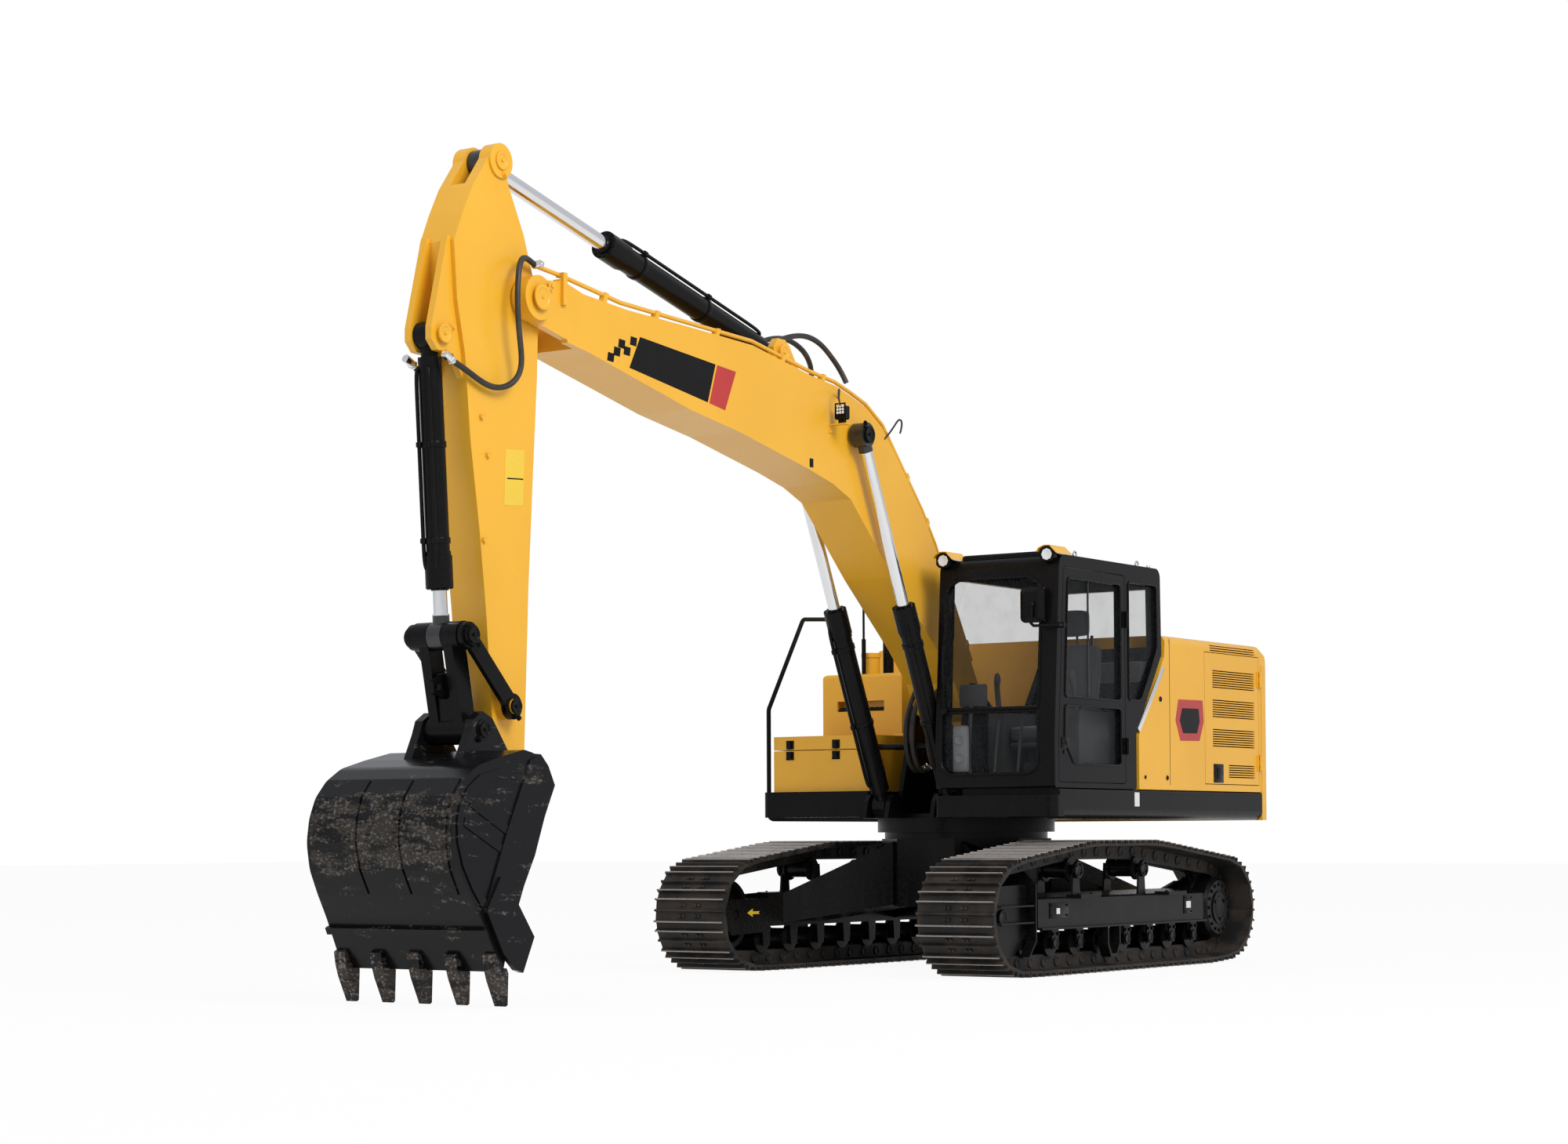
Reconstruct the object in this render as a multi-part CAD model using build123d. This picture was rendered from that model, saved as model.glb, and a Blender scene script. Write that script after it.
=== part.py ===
from build123d import *
import os
from math import atan2, cos, degrees, hypot, pi, radians, sin

# Crawler excavator, millimetres. +X points forward, +Y to the machine's left, +Z up.
# The origin is on the ground under the swing axis. It is modelled as it parks: the boom
# half raised, the arm hanging and the bucket opened just above the ground.

SEAT = 0.3                   # between pieces that rest on, or turn in, each other

# --- driving dimensions: running gear ------------------------------------------------------
GAUGE = 2200.0               # between the middles of the two tracks
TUMBLER_SPAN = 3350.0        # idler centre to sprocket centre
SHOE_WIDTH = 600.0
LINK_PITCH = 190.0           # nominal, the chain closes on a whole number of links
LINK_HALF_HEIGHT = 52.0
SHOE_PLATE = 10.0
GROUSER_HEIGHT = 26.0
IDLER_PITCH_RADIUS = 318.0
SPROCKET_PITCH_RADIUS = 306.0
IDLER_LIFT = 6.0             # of the idler's lowest link over the flat run
SPROCKET_LIFT = 22.0
ROLLER_TREAD_RADIUS = 78.0
ROLLER_COUNT = 8
ROLLER_SPAN = TUMBLER_SPAN - 790.0      # first bottom roller to last
CARRIER_RADIUS = 70.0
CARRIER_MIDDLE = 88.0        # of the two carrier rollers, ahead of the swing axis
CARRIER_SPAN = 1020.0
CARRIER_RISE = 123.0         # of the chain over the two carrier rollers
RAIL_INNER = 45.0            # the chain's two rails, from the track's middle
RAIL_OUTER = 86.0
FRAME_HALF_WIDTH = 150.0
FRAME_OUTSIDE = 50.0         # of the box, outboard of the plates beside the rollers
FRAME_DEPTH = 247.0
CARBODY_BOTTOM = 455.0
CARBODY_TOP = 955.0
CARBODY_RADIUS = 640.0

# --- driving dimensions: swing bearing and turntable ----------------------------------------
RING_INNER_RADIUS = 520.0
RING_OUTER_RADIUS = 610.0
UPPER_RING_RADIUS = 663.0
LOWER_RING_TOP = 1040.0
UPPER_RING_BOTTOM = 1003.0
DECK_BOTTOM = 1108.0
BEAM_BOTTOM = 1090.0
DECK_TOP = 1310.0
HALF_WIDTH = 1355.0
BEAM_WIDTH = 100.0
HOUSE_REAR = -2312.0
HOOD_WALL = 40.0
TAIL_SIDE = -2441.0
TAIL_RADIUS_X = -2750.0
RIGHT_FRONT = 735.0
LEFT_FRONT = 1085.0

# --- driving dimensions: working equipment, (x, z) of its pins --------------------------------
BOOM_FOOT = (232.0, 1975.0)
BOOM_POINT = (5473.0, 4215.0)
BOOM_CYLINDER_FOOT = (703.0, 1192.0)
BOOM_CYLINDER_HEAD = (1899.0, 3770.0)
ARM_CYLINDER_FOOT = (2634.0, 4264.0)
ARM_CYLINDER_HEAD = (5698.0, 5015.0)
BUCKET_CYLINDER_FOOT = (6198.0, 3913.0)
LINK_PIVOT = (5676.0, 1751.0)
LINK_TOP = (6082.0, 2155.0)
BUCKET_LINK_PIN = (5972.0, 1604.0)
BUCKET_PIN = (5620.0, 1293.0)

PIN_RADIUS = 45.0
PIN_PLAY = 0.05              # between a pin and the bore that turns on it
SIDE_PLAY = 5.0              # between an eye and the ears on its two sides
BOOM_HALF_WIDTH = 205.0
ARM_HALF_WIDTH = 132.0
ARM_BOSS_HALF = 147.0
EYE_HALF_WIDTH = 52.0
BOOM_CYLINDER_Y = 290.0
BUCKET_HALF_WIDTH = 590.0
BUCKET_EAR_INNER = 165.0
BUCKET_EAR_OUTER = 225.0
LINK_PLATE_INNER = 182.0
LINK_PLATE_OUTER = 214.0
TOOTH_SPAN = 1126.0
TOOTH_COUNT = 5

# --- driving dimensions: cab -------------------------------------------------------------------
CAB_INNER_Y = 385.0
CAB_OUTER_Y = HALF_WIDTH - 5
CAB_FLOOR = DECK_TOP
CAB_WALL = 50.0
CAB_ROOF = 2950.0
DOOR_REAR = 12.0
DOOR_FRONT = 1000.0
DOOR_BOTTOM = 1345.0
DOOR_TOP = 2865.0
DOOR_CLEAR = 6.0
GLASS = 8.0
SEAL = SEAT                  # round a pane, to the wall it sits in

# --- driving dimensions: the hinges of doors and lids -------------------------------------------
HINGE_PIN = 6.0
HINGE_BARREL = 13.0
HINGE_RISE = 17.0            # of a hinge's axis over its skin
HINGE_LENGTH = 120.0
HINGE_LEAF = 8.0
HINGE_REACH = 40.0           # of a leaf from the axis


def at(pin, y=0.0):
    """A point on a pin's axis."""
    return (pin[0], y, pin[1])


def box(low, high):
    """A block between its two opposite corners."""
    size = [h - l for l, h in zip(low, high)]
    middle = [(l + h) / 2 for l, h in zip(low, high)]
    return Pos(*middle) * Box(*size)


def outline(points, radii=0):
    """A closed face through points, with its corners rounded."""
    if not radii:
        return make_face(Polyline(*points, close=True))
    return make_face(FilletPolyline(*points, radius=radii, close=True))


def plate(points, y0, y1, radii=0):
    """An outline of (x, z) points, thick from y0 to y1."""
    face = outline([(x, y0, z) for x, z in points], radii)
    return extrude(face, amount=y1 - y0, dir=(0, 1, 0))


def slab(points, z0, z1, radii=0):
    """An outline of (x, y) points, thick from z0 to z1."""
    face = outline([(x, y, z0) for x, y in points], radii)
    return extrude(face, amount=z1 - z0, dir=(0, 0, 1))


def bar(start, end, radius):
    """A round bar between two points."""
    start, end = Vector(*start), Vector(*end)
    plane = Plane(origin=start, z_dir=end - start)
    return Solid.make_cylinder(radius, (end - start).length, plane)


def pin(centre, radius, y0, y1):
    """A round bar across the machine."""
    return bar(at(centre, y0), at(centre, y1), radius)


def both(solid):
    """A piece of the left side and its mirror image."""
    return solid + mirror(solid, about=Plane.XZ)


def other_side(solid):
    return mirror(solid, about=Plane.XZ)


def hinge_half(side, spans, reach):
    """A leaf to one side of the axis, with a barrel at each of its spans of Z."""
    a, b = sorted((side * (HINGE_BARREL + 2), side * reach))
    half = box((a, -HINGE_RISE, 0), (b, -HINGE_RISE + HINGE_LEAF, HINGE_LENGTH))
    a, b = sorted((0, side * (HINGE_BARREL + 3)))
    for z0, z1 in spans:
        half += box((a, -HINGE_RISE, z0), (b, -HINGE_RISE + HINGE_LEAF, z1))
        half += Pos(0, 0, (z0 + z1) / 2) * Cylinder(HINGE_BARREL, z1 - z0)
    return half


def hinge(place, reach=HINGE_REACH):
    """A hinge on a skin that faces the place's Y, along its Z: the fixed and the moving half."""
    third = HINGE_LENGTH / 3
    middle = [(third + SEAT, 2 * third - SEAT)]
    fixed = hinge_half(-1, [(0, third), (2 * third, HINGE_LENGTH)], reach)
    fixed += Pos(0, 0, HINGE_LENGTH / 2) * Cylinder(HINGE_PIN, HINGE_LENGTH)
    moving = hinge_half(1, middle, HINGE_REACH)
    moving -= Pos(0, 0, HINGE_LENGTH / 2) * Cylinder(HINGE_PIN + SEAT, HINGE_LENGTH)
    return place * fixed, place * moving


def upright(x, skin, z):
    """Where a door's hinge stands on a side wall, its door ahead of it."""
    return Pos(x, skin + HINGE_RISE, z)


def lying(x, y, skin, ahead):
    """Where a lid's hinge lies on a flat top, its lid ahead of it or behind it."""
    return Plane(origin=(x, y, skin + HINGE_RISE), x_dir=(ahead, 0, 0), z_dir=(0, -ahead, 0)).location


def turned(profile, centre):
    """A profile of (radius, y) points turned about the cross axis through centre."""
    face = make_face(Polyline(*[(r, y, 0) for r, y in profile], close=True))
    return Pos(*centre) * revolve(face, Axis.Y)


def save(node, shape):
    export_step(shape, f"parts/{node}.step")


class Along:
    """Places (x, z) points by their share of the way from one pin to another, and their
    height over the line between the two."""

    def __init__(self, start, end):
        self.start = start
        self.length = hypot(end[0] - start[0], end[1] - start[1])
        self.ux = (end[0] - start[0]) / self.length
        self.uz = (end[1] - start[1]) / self.length

    def at(self, share, height):
        along = share * self.length
        return (self.start[0] + along * self.ux - height * self.uz,
                self.start[1] + along * self.uz + height * self.ux)


# --- track -------------------------------------------------------------------------------------
GROUSER_TIP = LINK_HALF_HEIGHT + SHOE_PLATE + GROUSER_HEIGHT
IDLER_X = TUMBLER_SPAN / 2
IDLER_Z = GROUSER_TIP + IDLER_PITCH_RADIUS + IDLER_LIFT
SPROCKET_X = -TUMBLER_SPAN / 2
SPROCKET_Z = GROUSER_TIP + SPROCKET_PITCH_RADIUS + SPROCKET_LIFT
ROLLER_Z = GROUSER_TIP + LINK_HALF_HEIGHT + ROLLER_TREAD_RADIUS
ROLLER_FLANGE = 16.0
FRAME_BOTTOM = ROLLER_Z + ROLLER_TREAD_RADIUS + ROLLER_FLANGE + 6
CHAIN_TOP = IDLER_Z + IDLER_PITCH_RADIUS + CARRIER_RISE
CARRIER_Z = CHAIN_TOP - LINK_HALF_HEIGHT - CARRIER_RADIUS
FRAME_TOP = FRAME_BOTTOM + FRAME_DEPTH
CARRIER_XS = (CARRIER_MIDDLE - CARRIER_SPAN / 2, CARRIER_MIDDLE + CARRIER_SPAN / 2)


def belt(wheels):
    """The line of a belt round wheels (x, z, radius), anticlockwise: straight runs and arcs,
    each (length, place), where place(s) gives the point at s from the piece's start."""
    pieces = []
    count = len(wheels)
    angles = []
    for i in range(count):
        x0, z0, r0 = wheels[i]
        x1, z1, r1 = wheels[(i + 1) % count]
        gap = hypot(x1 - x0, z1 - z0)
        heading = atan2(z1 - z0, x1 - x0)
        angles.append(heading - pi / 2 + atan2(r0 - r1, (gap ** 2 - (r0 - r1) ** 2) ** 0.5))
    for i in range(count):
        x0, z0, r0 = wheels[i]
        turn = (angles[i] - angles[i - 1]) % (2 * pi)
        turn = turn if turn < 1.9 * pi else 0.0
        pieces.append((r0 * turn, lambda s, a=angles[i - 1], x=x0, z=z0, r=r0:
                       (x + r * cos(a + s / r), z + r * sin(a + s / r))))
        x1, z1, r1 = wheels[(i + 1) % count]
        a = (x0 + r0 * cos(angles[i]), z0 + r0 * sin(angles[i]))
        b = (x1 + r1 * cos(angles[i]), z1 + r1 * sin(angles[i]))
        run = hypot(b[0] - a[0], b[1] - a[1])
        pieces.append((run, lambda s, a=a, b=b, run=run:
                       (a[0] + (b[0] - a[0]) * s / run, a[1] + (b[1] - a[1]) * s / run)))
    return pieces


def link_pins():
    """The chain's pins (x, z), in order round the track."""
    roller = ROLLER_TREAD_RADIUS + LINK_HALF_HEIGHT
    carrier = CARRIER_RADIUS + LINK_HALF_HEIGHT
    pieces = belt([
        (SPROCKET_X, SPROCKET_Z, SPROCKET_PITCH_RADIUS),
        (-ROLLER_SPAN / 2, ROLLER_Z, roller),
        (ROLLER_SPAN / 2, ROLLER_Z, roller),
        (IDLER_X, IDLER_Z, IDLER_PITCH_RADIUS),
        (CARRIER_XS[1], CARRIER_Z, carrier),
        (CARRIER_XS[0], CARRIER_Z, carrier),
    ])
    total = sum(length for length, place in pieces)
    count = round(total / LINK_PITCH)
    pins = []
    start = 0.0
    for length, place in pieces:
        while len(pins) < count and len(pins) * total / count < start + length:
            pins.append(place(len(pins) * total / count - start))
        start += length
    return pins


def ring_outline(pins, profile):
    """An outline round the chain: profile (share of a link, height over the pins) per link."""
    points = []
    for i, (x0, z0) in enumerate(pins):
        x1, z1 = pins[(i + 1) % len(pins)]
        gap = hypot(x1 - x0, z1 - z0)
        ux, uz = (x1 - x0) / gap, (z1 - z0) / gap
        for along, height in profile:
            points.append((x0 + along * gap * ux + height * uz,
                           z0 + along * gap * uz - height * ux))
    return points


def track_chain():
    """The left track's shoes and link rails as one closed loop."""
    pins = link_pins()
    base = LINK_HALF_HEIGHT
    top = base + SHOE_PLATE
    # one shoe: share of the link's length, height over the pins
    shoe = [(0.03, base), (0.03, GROUSER_TIP), (0.09, GROUSER_TIP), (0.13, top),
            (0.44, top), (0.47, GROUSER_TIP), (0.53, GROUSER_TIP), (0.56, top),
            (0.87, top), (0.91, GROUSER_TIP), (0.97, GROUSER_TIP), (0.97, base)]
    middle = GAUGE / 2
    rail_side = [(0.12, -base), (0.88, -base)]
    inner = outline([(x, middle - SHOE_WIDTH / 2, z)
                     for x, z in ring_outline(pins, [(0.5, base - 6)])])
    band = outline([(x, middle - SHOE_WIDTH / 2, z) for x, z in ring_outline(pins, shoe)])
    loop = extrude(band - inner, amount=SHOE_WIDTH, dir=(0, 1, 0))
    for y0, y1 in ((-RAIL_OUTER, -RAIL_INNER), (RAIL_INNER, RAIL_OUTER)):
        rail = (outline([(x, middle + y0, z) for x, z in ring_outline(pins, [(0.5, base - 3)])])
                - outline([(x, middle + y0, z) for x, z in ring_outline(pins, rail_side)]))
        loop += extrude(rail, amount=y1 - y0, dir=(0, 1, 0))
    return loop


ROLLER_CLEAR = 1.6           # of a bottom roller's tread over the chain's straight rail
CARRIER_CLEAR = 7.4          # of a carrier's tread, where the chain bends a little over it
WHEEL_CLEAR = 0.5
HUB_HALF = FRAME_HALF_WIDTH - 16


def flat_radius(pitch_radius):
    """From a wheel's centre to the middle of a link's rail that lies on it."""
    return (pitch_radius ** 2 - (LINK_PITCH / 2) ** 2) ** 0.5 - LINK_HALF_HEIGHT


def roller(x, z, radius, clear):
    """A double-flanged roller on its shaft, its two ends in collars."""
    tread = radius - clear
    profile = [(0, -HUB_HALF), (34, -HUB_HALF), (34, -112), (radius + ROLLER_FLANGE, -110),
               (radius + ROLLER_FLANGE, -RAIL_OUTER - 5), (tread, -RAIL_OUTER - 2),
               (tread, RAIL_OUTER + 2), (radius + ROLLER_FLANGE, RAIL_OUTER + 5),
               (radius + ROLLER_FLANGE, 110), (34, 112), (34, HUB_HALF), (0, HUB_HALF)]
    return turned(profile, (x, GAUGE / 2, z))


def track_rollers():
    step = ROLLER_SPAN / (ROLLER_COUNT - 1)
    wheels = [roller(-ROLLER_SPAN / 2 + i * step, ROLLER_Z, ROLLER_TREAD_RADIUS, ROLLER_CLEAR)
              for i in range(ROLLER_COUNT)]
    return Compound(children=wheels)


def carrier_rollers():
    wheels = [roller(x, CARRIER_Z, CARRIER_RADIUS, CARRIER_CLEAR) for x in CARRIER_XS]
    return Compound(children=wheels)


IDLER_SHAFT_RADIUS = 40.0
IDLER_SHAFT_HALF = 140.0


def idler():
    """The front wheel: two treads, a flange between the rails, dished sides and a hub."""
    tread = flat_radius(IDLER_PITCH_RADIUS) - WHEEL_CLEAR
    flange = tread + 24
    shaft = IDLER_SHAFT_RADIUS - SEAT
    profile = [(0, -IDLER_SHAFT_HALF), (shaft, -IDLER_SHAFT_HALF), (shaft, -118), (70, -118),
               (95, -88), (110, -50), (tread - 70, -34),
               (tread - 40, -RAIL_OUTER), (tread, -RAIL_OUTER), (tread, -RAIL_INNER + 8),
               (flange, -RAIL_INNER + 14), (flange, RAIL_INNER - 14), (tread, RAIL_INNER - 8),
               (tread, RAIL_OUTER), (tread - 40, RAIL_OUTER), (tread - 70, 34), (110, 50),
               (95, 88), (70, 118), (shaft, 118), (shaft, IDLER_SHAFT_HALF),
               (0, IDLER_SHAFT_HALF)]
    return turned(profile, (IDLER_X, GAUGE / 2, IDLER_Z))


SPROCKET_TEETH = 21
SPROCKET_HALF = 32.0
HUB_RADIUS = 232.0


def sprocket():
    """The toothed rim, on the final drive's round housing with its cover."""
    root = SPROCKET_PITCH_RADIUS - 34
    tip = SPROCKET_PITCH_RADIUS + 8
    points = []
    for i in range(SPROCKET_TEETH):
        for share, radius in ((0.0, root), (0.30, root), (0.46, tip), (0.84, tip)):
            a = 2 * pi * (i + share) / SPROCKET_TEETH
            points.append((SPROCKET_X + radius * cos(a), SPROCKET_Z + radius * sin(a)))
    middle = GAUGE / 2
    rim = plate(points, middle - SPROCKET_HALF, middle + SPROCKET_HALF)
    housing = [(0, -250), (170, -250), (170, -112), (HUB_RADIUS, -104), (HUB_RADIUS, -40),
               (250, -SPROCKET_HALF), (250, SPROCKET_HALF), (HUB_RADIUS, 40), (HUB_RADIUS, 150),
               (HUB_RADIUS - 26, 176), (0, 176)]
    return rim + turned(housing, (SPROCKET_X, middle, SPROCKET_Z))


LEDGE = 34.0
YOKE_CHEEK = [(-364, -100), (-364, 224), (40, 215), (150, 120), (178, 0), (165, -150),
              (120, -275), (-170, -275), (-255, -180)]        # round the idler's axle
YOKE_FLANGE = [(-364, 228), (-350, 228), (-350, -165), (-250, -275), (-266, -275), (-364, -170)]
YOKE_RIBS = (77.0, -39.0)


def yoke_cheek(front, side):
    """A plate beside the idler: the outer one deep, the inner one low, both on its axle."""
    a, b = sorted((GAUGE / 2 + side * 122, GAUGE / 2 + side * FRAME_HALF_WIDTH))
    low = [(front - 20 - IDLER_X, -135), (60, -150), (150, -60), (150, 60), (60, 110),
           (front - 20 - IDLER_X, 110)]
    shape = YOKE_CHEEK if side > 0 else low
    cheek = plate([(IDLER_X + x, IDLER_Z + z) for x, z in shape], a, b)
    if side > 0:
        cheek += box((front - 20, a, IDLER_Z - 100), (IDLER_X - 360, b, IDLER_Z + 110))
        cheek -= pin((IDLER_X + 45, IDLER_Z + 12), 24, b - 12, b + 1)
    return cheek - pin((IDLER_X, IDLER_Z), IDLER_SHAFT_RADIUS, a - 1, 2 * b - a - 16)


def yoke_ribs(front):
    """Two level ribs and an upright flange outside the outer cheek."""
    y = GAUGE / 2 + FRAME_HALF_WIDTH
    ribs = plate([(IDLER_X + x, IDLER_Z + z) for x, z in YOKE_FLANGE], y - 2, y + 72)
    for z in YOKE_RIBS:
        rib = slab([(front - 60, y - 2), (front - 60, y + 20), (IDLER_X - 364, y + 66),
                    (IDLER_X + 120, y + 66), (IDLER_X + 160, y + 20), (IDLER_X + 160, y - 2)],
                   IDLER_Z + z - 6, IDLER_Z + z + 6)
        ribs += rib
    return ribs


def track_frame():
    """The left track's frame: a box, roller saddles, the idler's yoke, guards and steps."""
    middle = GAUGE / 2
    front, rear = ROLLER_SPAN / 2 - 25, -ROLLER_SPAN / 2 - 65
    y0, y1 = middle - FRAME_HALF_WIDTH, middle + FRAME_HALF_WIDTH
    # the box's cross-section, its top falling a little to the outside
    side = y1 + FRAME_OUTSIDE
    section = [(y0, FRAME_BOTTOM), (side, FRAME_BOTTOM), (side, FRAME_TOP - 34),
               (side - 26, FRAME_TOP - 22), (y0 + 80, FRAME_TOP), (y0, FRAME_TOP)]
    face = make_face(Polyline(*[(rear, y, z) for y, z in section], close=True))
    frame = extrude(face, amount=front - rear, dir=(1, 0, 0))
    # shaft collars under the box, one pair at each roller
    step = ROLLER_SPAN / (ROLLER_COUNT - 1)
    for i in range(ROLLER_COUNT):
        x = -ROLLER_SPAN / 2 + i * step
        for sign in (-1, 1):
            a, b = sorted((middle + sign * HUB_HALF, middle + sign * FRAME_HALF_WIDTH))
            collar = plate([(x - 52, FRAME_BOTTOM), (x - 40, ROLLER_Z - 44),
                            (x + 40, ROLLER_Z - 44), (x + 52, FRAME_BOTTOM)], a, b)
            frame += collar
    # carrier roller brackets on the box
    for x in CARRIER_XS:
        for sign in (-1, 1):
            a, b = sorted((middle + sign * HUB_HALF, middle + sign * FRAME_HALF_WIDTH))
            post = plate([(x - 60, FRAME_TOP - 40), (x - 38, CARRIER_Z + 38),
                          (x + 38, CARRIER_Z + 38), (x + 60, FRAME_TOP - 40)], a, b)
            frame += post
    for sign in (-1, 1):
        frame += yoke_cheek(front, sign)
    frame += yoke_ribs(front)
    # a ledge along the box's foot, and a guard on it over the chain
    frame += box((rear, side - 5, FRAME_BOTTOM), (front, side + LEDGE, FRAME_BOTTOM + 14))
    x = ROLLER_SPAN / 2 - 3 * step
    guard = [(98, FRAME_BOTTOM + 5), (98, 190), (50, 100), (-50, 100), (-98, 190),
             (-98, FRAME_BOTTOM + 5), (-80, FRAME_BOTTOM + 5), (-80, 198), (-38, 124), (38, 124),
             (80, 198), (80, FRAME_BOTTOM + 5)]
    frame += plate([(x + a, z) for a, z in guard], y1 + 2, side + LEDGE)
    # the motor bracket: plates at the rear, inboard of the sprocket
    bracket = plate([(rear + 20, FRAME_BOTTOM), (rear + 20, FRAME_TOP),
                     (SPROCKET_X + 120, SPROCKET_Z + 205), (SPROCKET_X - 120, SPROCKET_Z + 205),
                     (SPROCKET_X - 205, SPROCKET_Z + 110), (SPROCKET_X - 205, SPROCKET_Z - 110),
                     (SPROCKET_X - 120, SPROCKET_Z - 205), (SPROCKET_X + 120, SPROCKET_Z - 205)],
                    y0, y0 + 36)
    bracket -= pin((SPROCKET_X, SPROCKET_Z), 171, y0 - 1, y0 + 37)
    frame += bracket
    # two flat steps outboard
    for x in (-760, 620):
        step_plate = slab([(x - 160, side - 36), (x - 148, side + 78), (x + 148, side + 78),
                           (x + 160, side - 36)], FRAME_TOP - 36, FRAME_TOP - 8)
        frame += step_plate
    return frame


def carbody():
    """The middle frame: a drum under the bearing and four legs out to the track frames."""
    side = GAUGE / 2 - FRAME_HALF_WIDTH
    drum = Pos(0, 0, CARBODY_BOTTOM) * extrude(
        RegularPolygon(CARBODY_RADIUS, 8, rotation=22.5), amount=CARBODY_TOP - CARBODY_BOTTOM)
    # leg ends: x0, x1, z0, z1 at the drum and at the track frame
    leg_root = (60, 560, CARBODY_BOTTOM + 10, CARBODY_TOP - 20)
    leg_tip = (520, 1060, FRAME_BOTTOM + 20, FRAME_TOP - 10)
    legs = []
    for sx in (-1, 1):
        faces = []
        for (x0, x1, z0, z1), y in ((leg_root, 300.0), (leg_tip, side)):
            faces.append(make_face(Polyline((sx * x0, y, z0), (sx * x1, y, z0), (sx * x1, y, z1),
                                            (sx * x0, y, z1), close=True)))
        legs.append(loft(faces))
    body = drum
    for leg in legs:
        body += leg + other_side(leg)
    return body


def ring(outer, inner, z0, z1):
    return Pos(0, 0, (z0 + z1) / 2) * (Cylinder(outer, z1 - z0) - Cylinder(inner, z1 - z0 + 2))


def bearing_lower():
    return ring(RING_OUTER_RADIUS, RING_INNER_RADIUS, CARBODY_TOP, LOWER_RING_TOP)


def bearing_upper():
    return ring(UPPER_RING_RADIUS, RING_OUTER_RADIUS + SEAT, UPPER_RING_BOTTOM, DECK_BOTTOM)


# --- turntable ----------------------------------------------------------------------------------
ENGINE_BED = 1480.0
CENTRE_HALF = 560.0
PIVOT_PLATE = (BOOM_HALF_WIDTH + SIDE_PLAY, BOOM_HALF_WIDTH + SIDE_PLAY + 35)
LUG_INNER = (176.0, BOOM_CYLINDER_Y - 78)
LUG_OUTER = (BOOM_CYLINDER_Y + 78, BOOM_CYLINDER_Y + 110)


def turntable():
    """The main frame: base plate, boom brackets, cylinder lugs, decks and side beams."""
    fx, fz = BOOM_FOOT
    gx, gz = BOOM_CYLINDER_FOOT
    base = box((HOUSE_REAR, -CENTRE_HALF, DECK_BOTTOM), (gx - 100, CENTRE_HALF, DECK_BOTTOM + 32))
    rear = HOUSE_REAR + HOOD_WALL
    cheek = plate([(rear, DECK_BOTTOM + 30), (rear, ENGINE_BED), (-1000, ENGINE_BED), (fx - 800, 1560),
                   (fx - 130, fz + 20), (fx - 90, fz + 110), (fx + 60, fz + 130),
                   (fx + 135, fz + 40), (gx - 140, DECK_TOP), (gx - 120, DECK_BOTTOM + 30)],
                  *PIVOT_PLATE)
    frame = base + both(cheek)
    frame += pin(BOOM_FOOT, PIN_RADIUS, -PIVOT_PLATE[1] - 24, PIVOT_PLATE[1] + 24)
    lug_shape = [(gx - 150, DECK_BOTTOM), (gx - 95, gz + 40), (gx - 50, gz + 90),
                 (gx + 50, gz + 90), (gx + 95, gz + 40), (gx + 130, DECK_BOTTOM)]
    frame += both(plate(lug_shape, *LUG_INNER)) + both(plate(lug_shape, *LUG_OUTER))
    frame += both(pin(BOOM_CYLINDER_FOOT, PIN_RADIUS, LUG_INNER[0], LUG_OUTER[1]))
    return frame


def side_beam(y0, y1, x0, x1):
    """A hollow-looking beam of D section along one side."""
    outer = max(y0, y1, key=abs)
    inner = min(y0, y1, key=abs)
    sign = 1 if outer > 0 else -1
    points = [(x0, inner, BEAM_BOTTOM), (x0, outer, BEAM_BOTTOM), (x0, outer, DECK_TOP),
              (x0, inner, DECK_TOP)]
    face = make_face(FilletPolyline(*points, radius=[1, 70, 30, 1], close=True))
    return extrude(face, amount=x1 - x0, dir=(1, 0, 0))


def deck_left():
    beam = side_beam(HALF_WIDTH - BEAM_WIDTH, HALF_WIDTH, HOUSE_REAR, LEFT_FRONT - 60)
    floor = box((HOUSE_REAR, CENTRE_HALF, DECK_TOP - 60), (LEFT_FRONT - 80, HALF_WIDTH - 60, DECK_TOP))
    shelf = box((HOUSE_REAR, CENTRE_HALF, DECK_BOTTOM), (-300, CENTRE_HALF + 40, DECK_TOP - 50))
    step = slab([(LEFT_FRONT - 130, CAB_INNER_Y), (LEFT_FRONT + 15, CAB_INNER_Y),
                 (LEFT_FRONT + 15, HALF_WIDTH), (LEFT_FRONT - 130, HALF_WIDTH)],
                DECK_BOTTOM, DECK_TOP - 50, [6, 30, 60, 6])
    return beam + floor + shelf + step


def deck_right():
    beam = side_beam(-HALF_WIDTH + BEAM_WIDTH, -HALF_WIDTH, HOUSE_REAR, RIGHT_FRONT - 60)
    floor = box((HOUSE_REAR, -HALF_WIDTH + 60, DECK_TOP - 60), (RIGHT_FRONT, -CENTRE_HALF, DECK_TOP))
    shelf = box((HOUSE_REAR, -CENTRE_HALF - 40, DECK_BOTTOM), (-300, -CENTRE_HALF, DECK_TOP - 50))
    front = slab([(RIGHT_FRONT - 110, -HALF_WIDTH), (RIGHT_FRONT, -HALF_WIDTH),
                  (RIGHT_FRONT, -LUG_OUTER[1]), (RIGHT_FRONT - 110, -LUG_OUTER[1])],
                 DECK_BOTTOM + 10, DECK_TOP, [6, 60, 20, 6])
    return beam + floor + shelf + front


# --- boom -----------------------------------------------------------------------------------------
BOOM_LINE = Along(BOOM_FOOT, BOOM_POINT)
BOOM_TOP = [(0.97, 130), (0.968, 250), (0.927, 285), (0.851, 434), (0.755, 655), (0.623, 950),
            (0.503, 1121), (0.448, 1216), (0.4137, 1248), (0.377, 1275), (0.335, 1250),
            (0.299, 1173), (0.212, 963), (0.165, 814), (-0.012, 110)]


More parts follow.
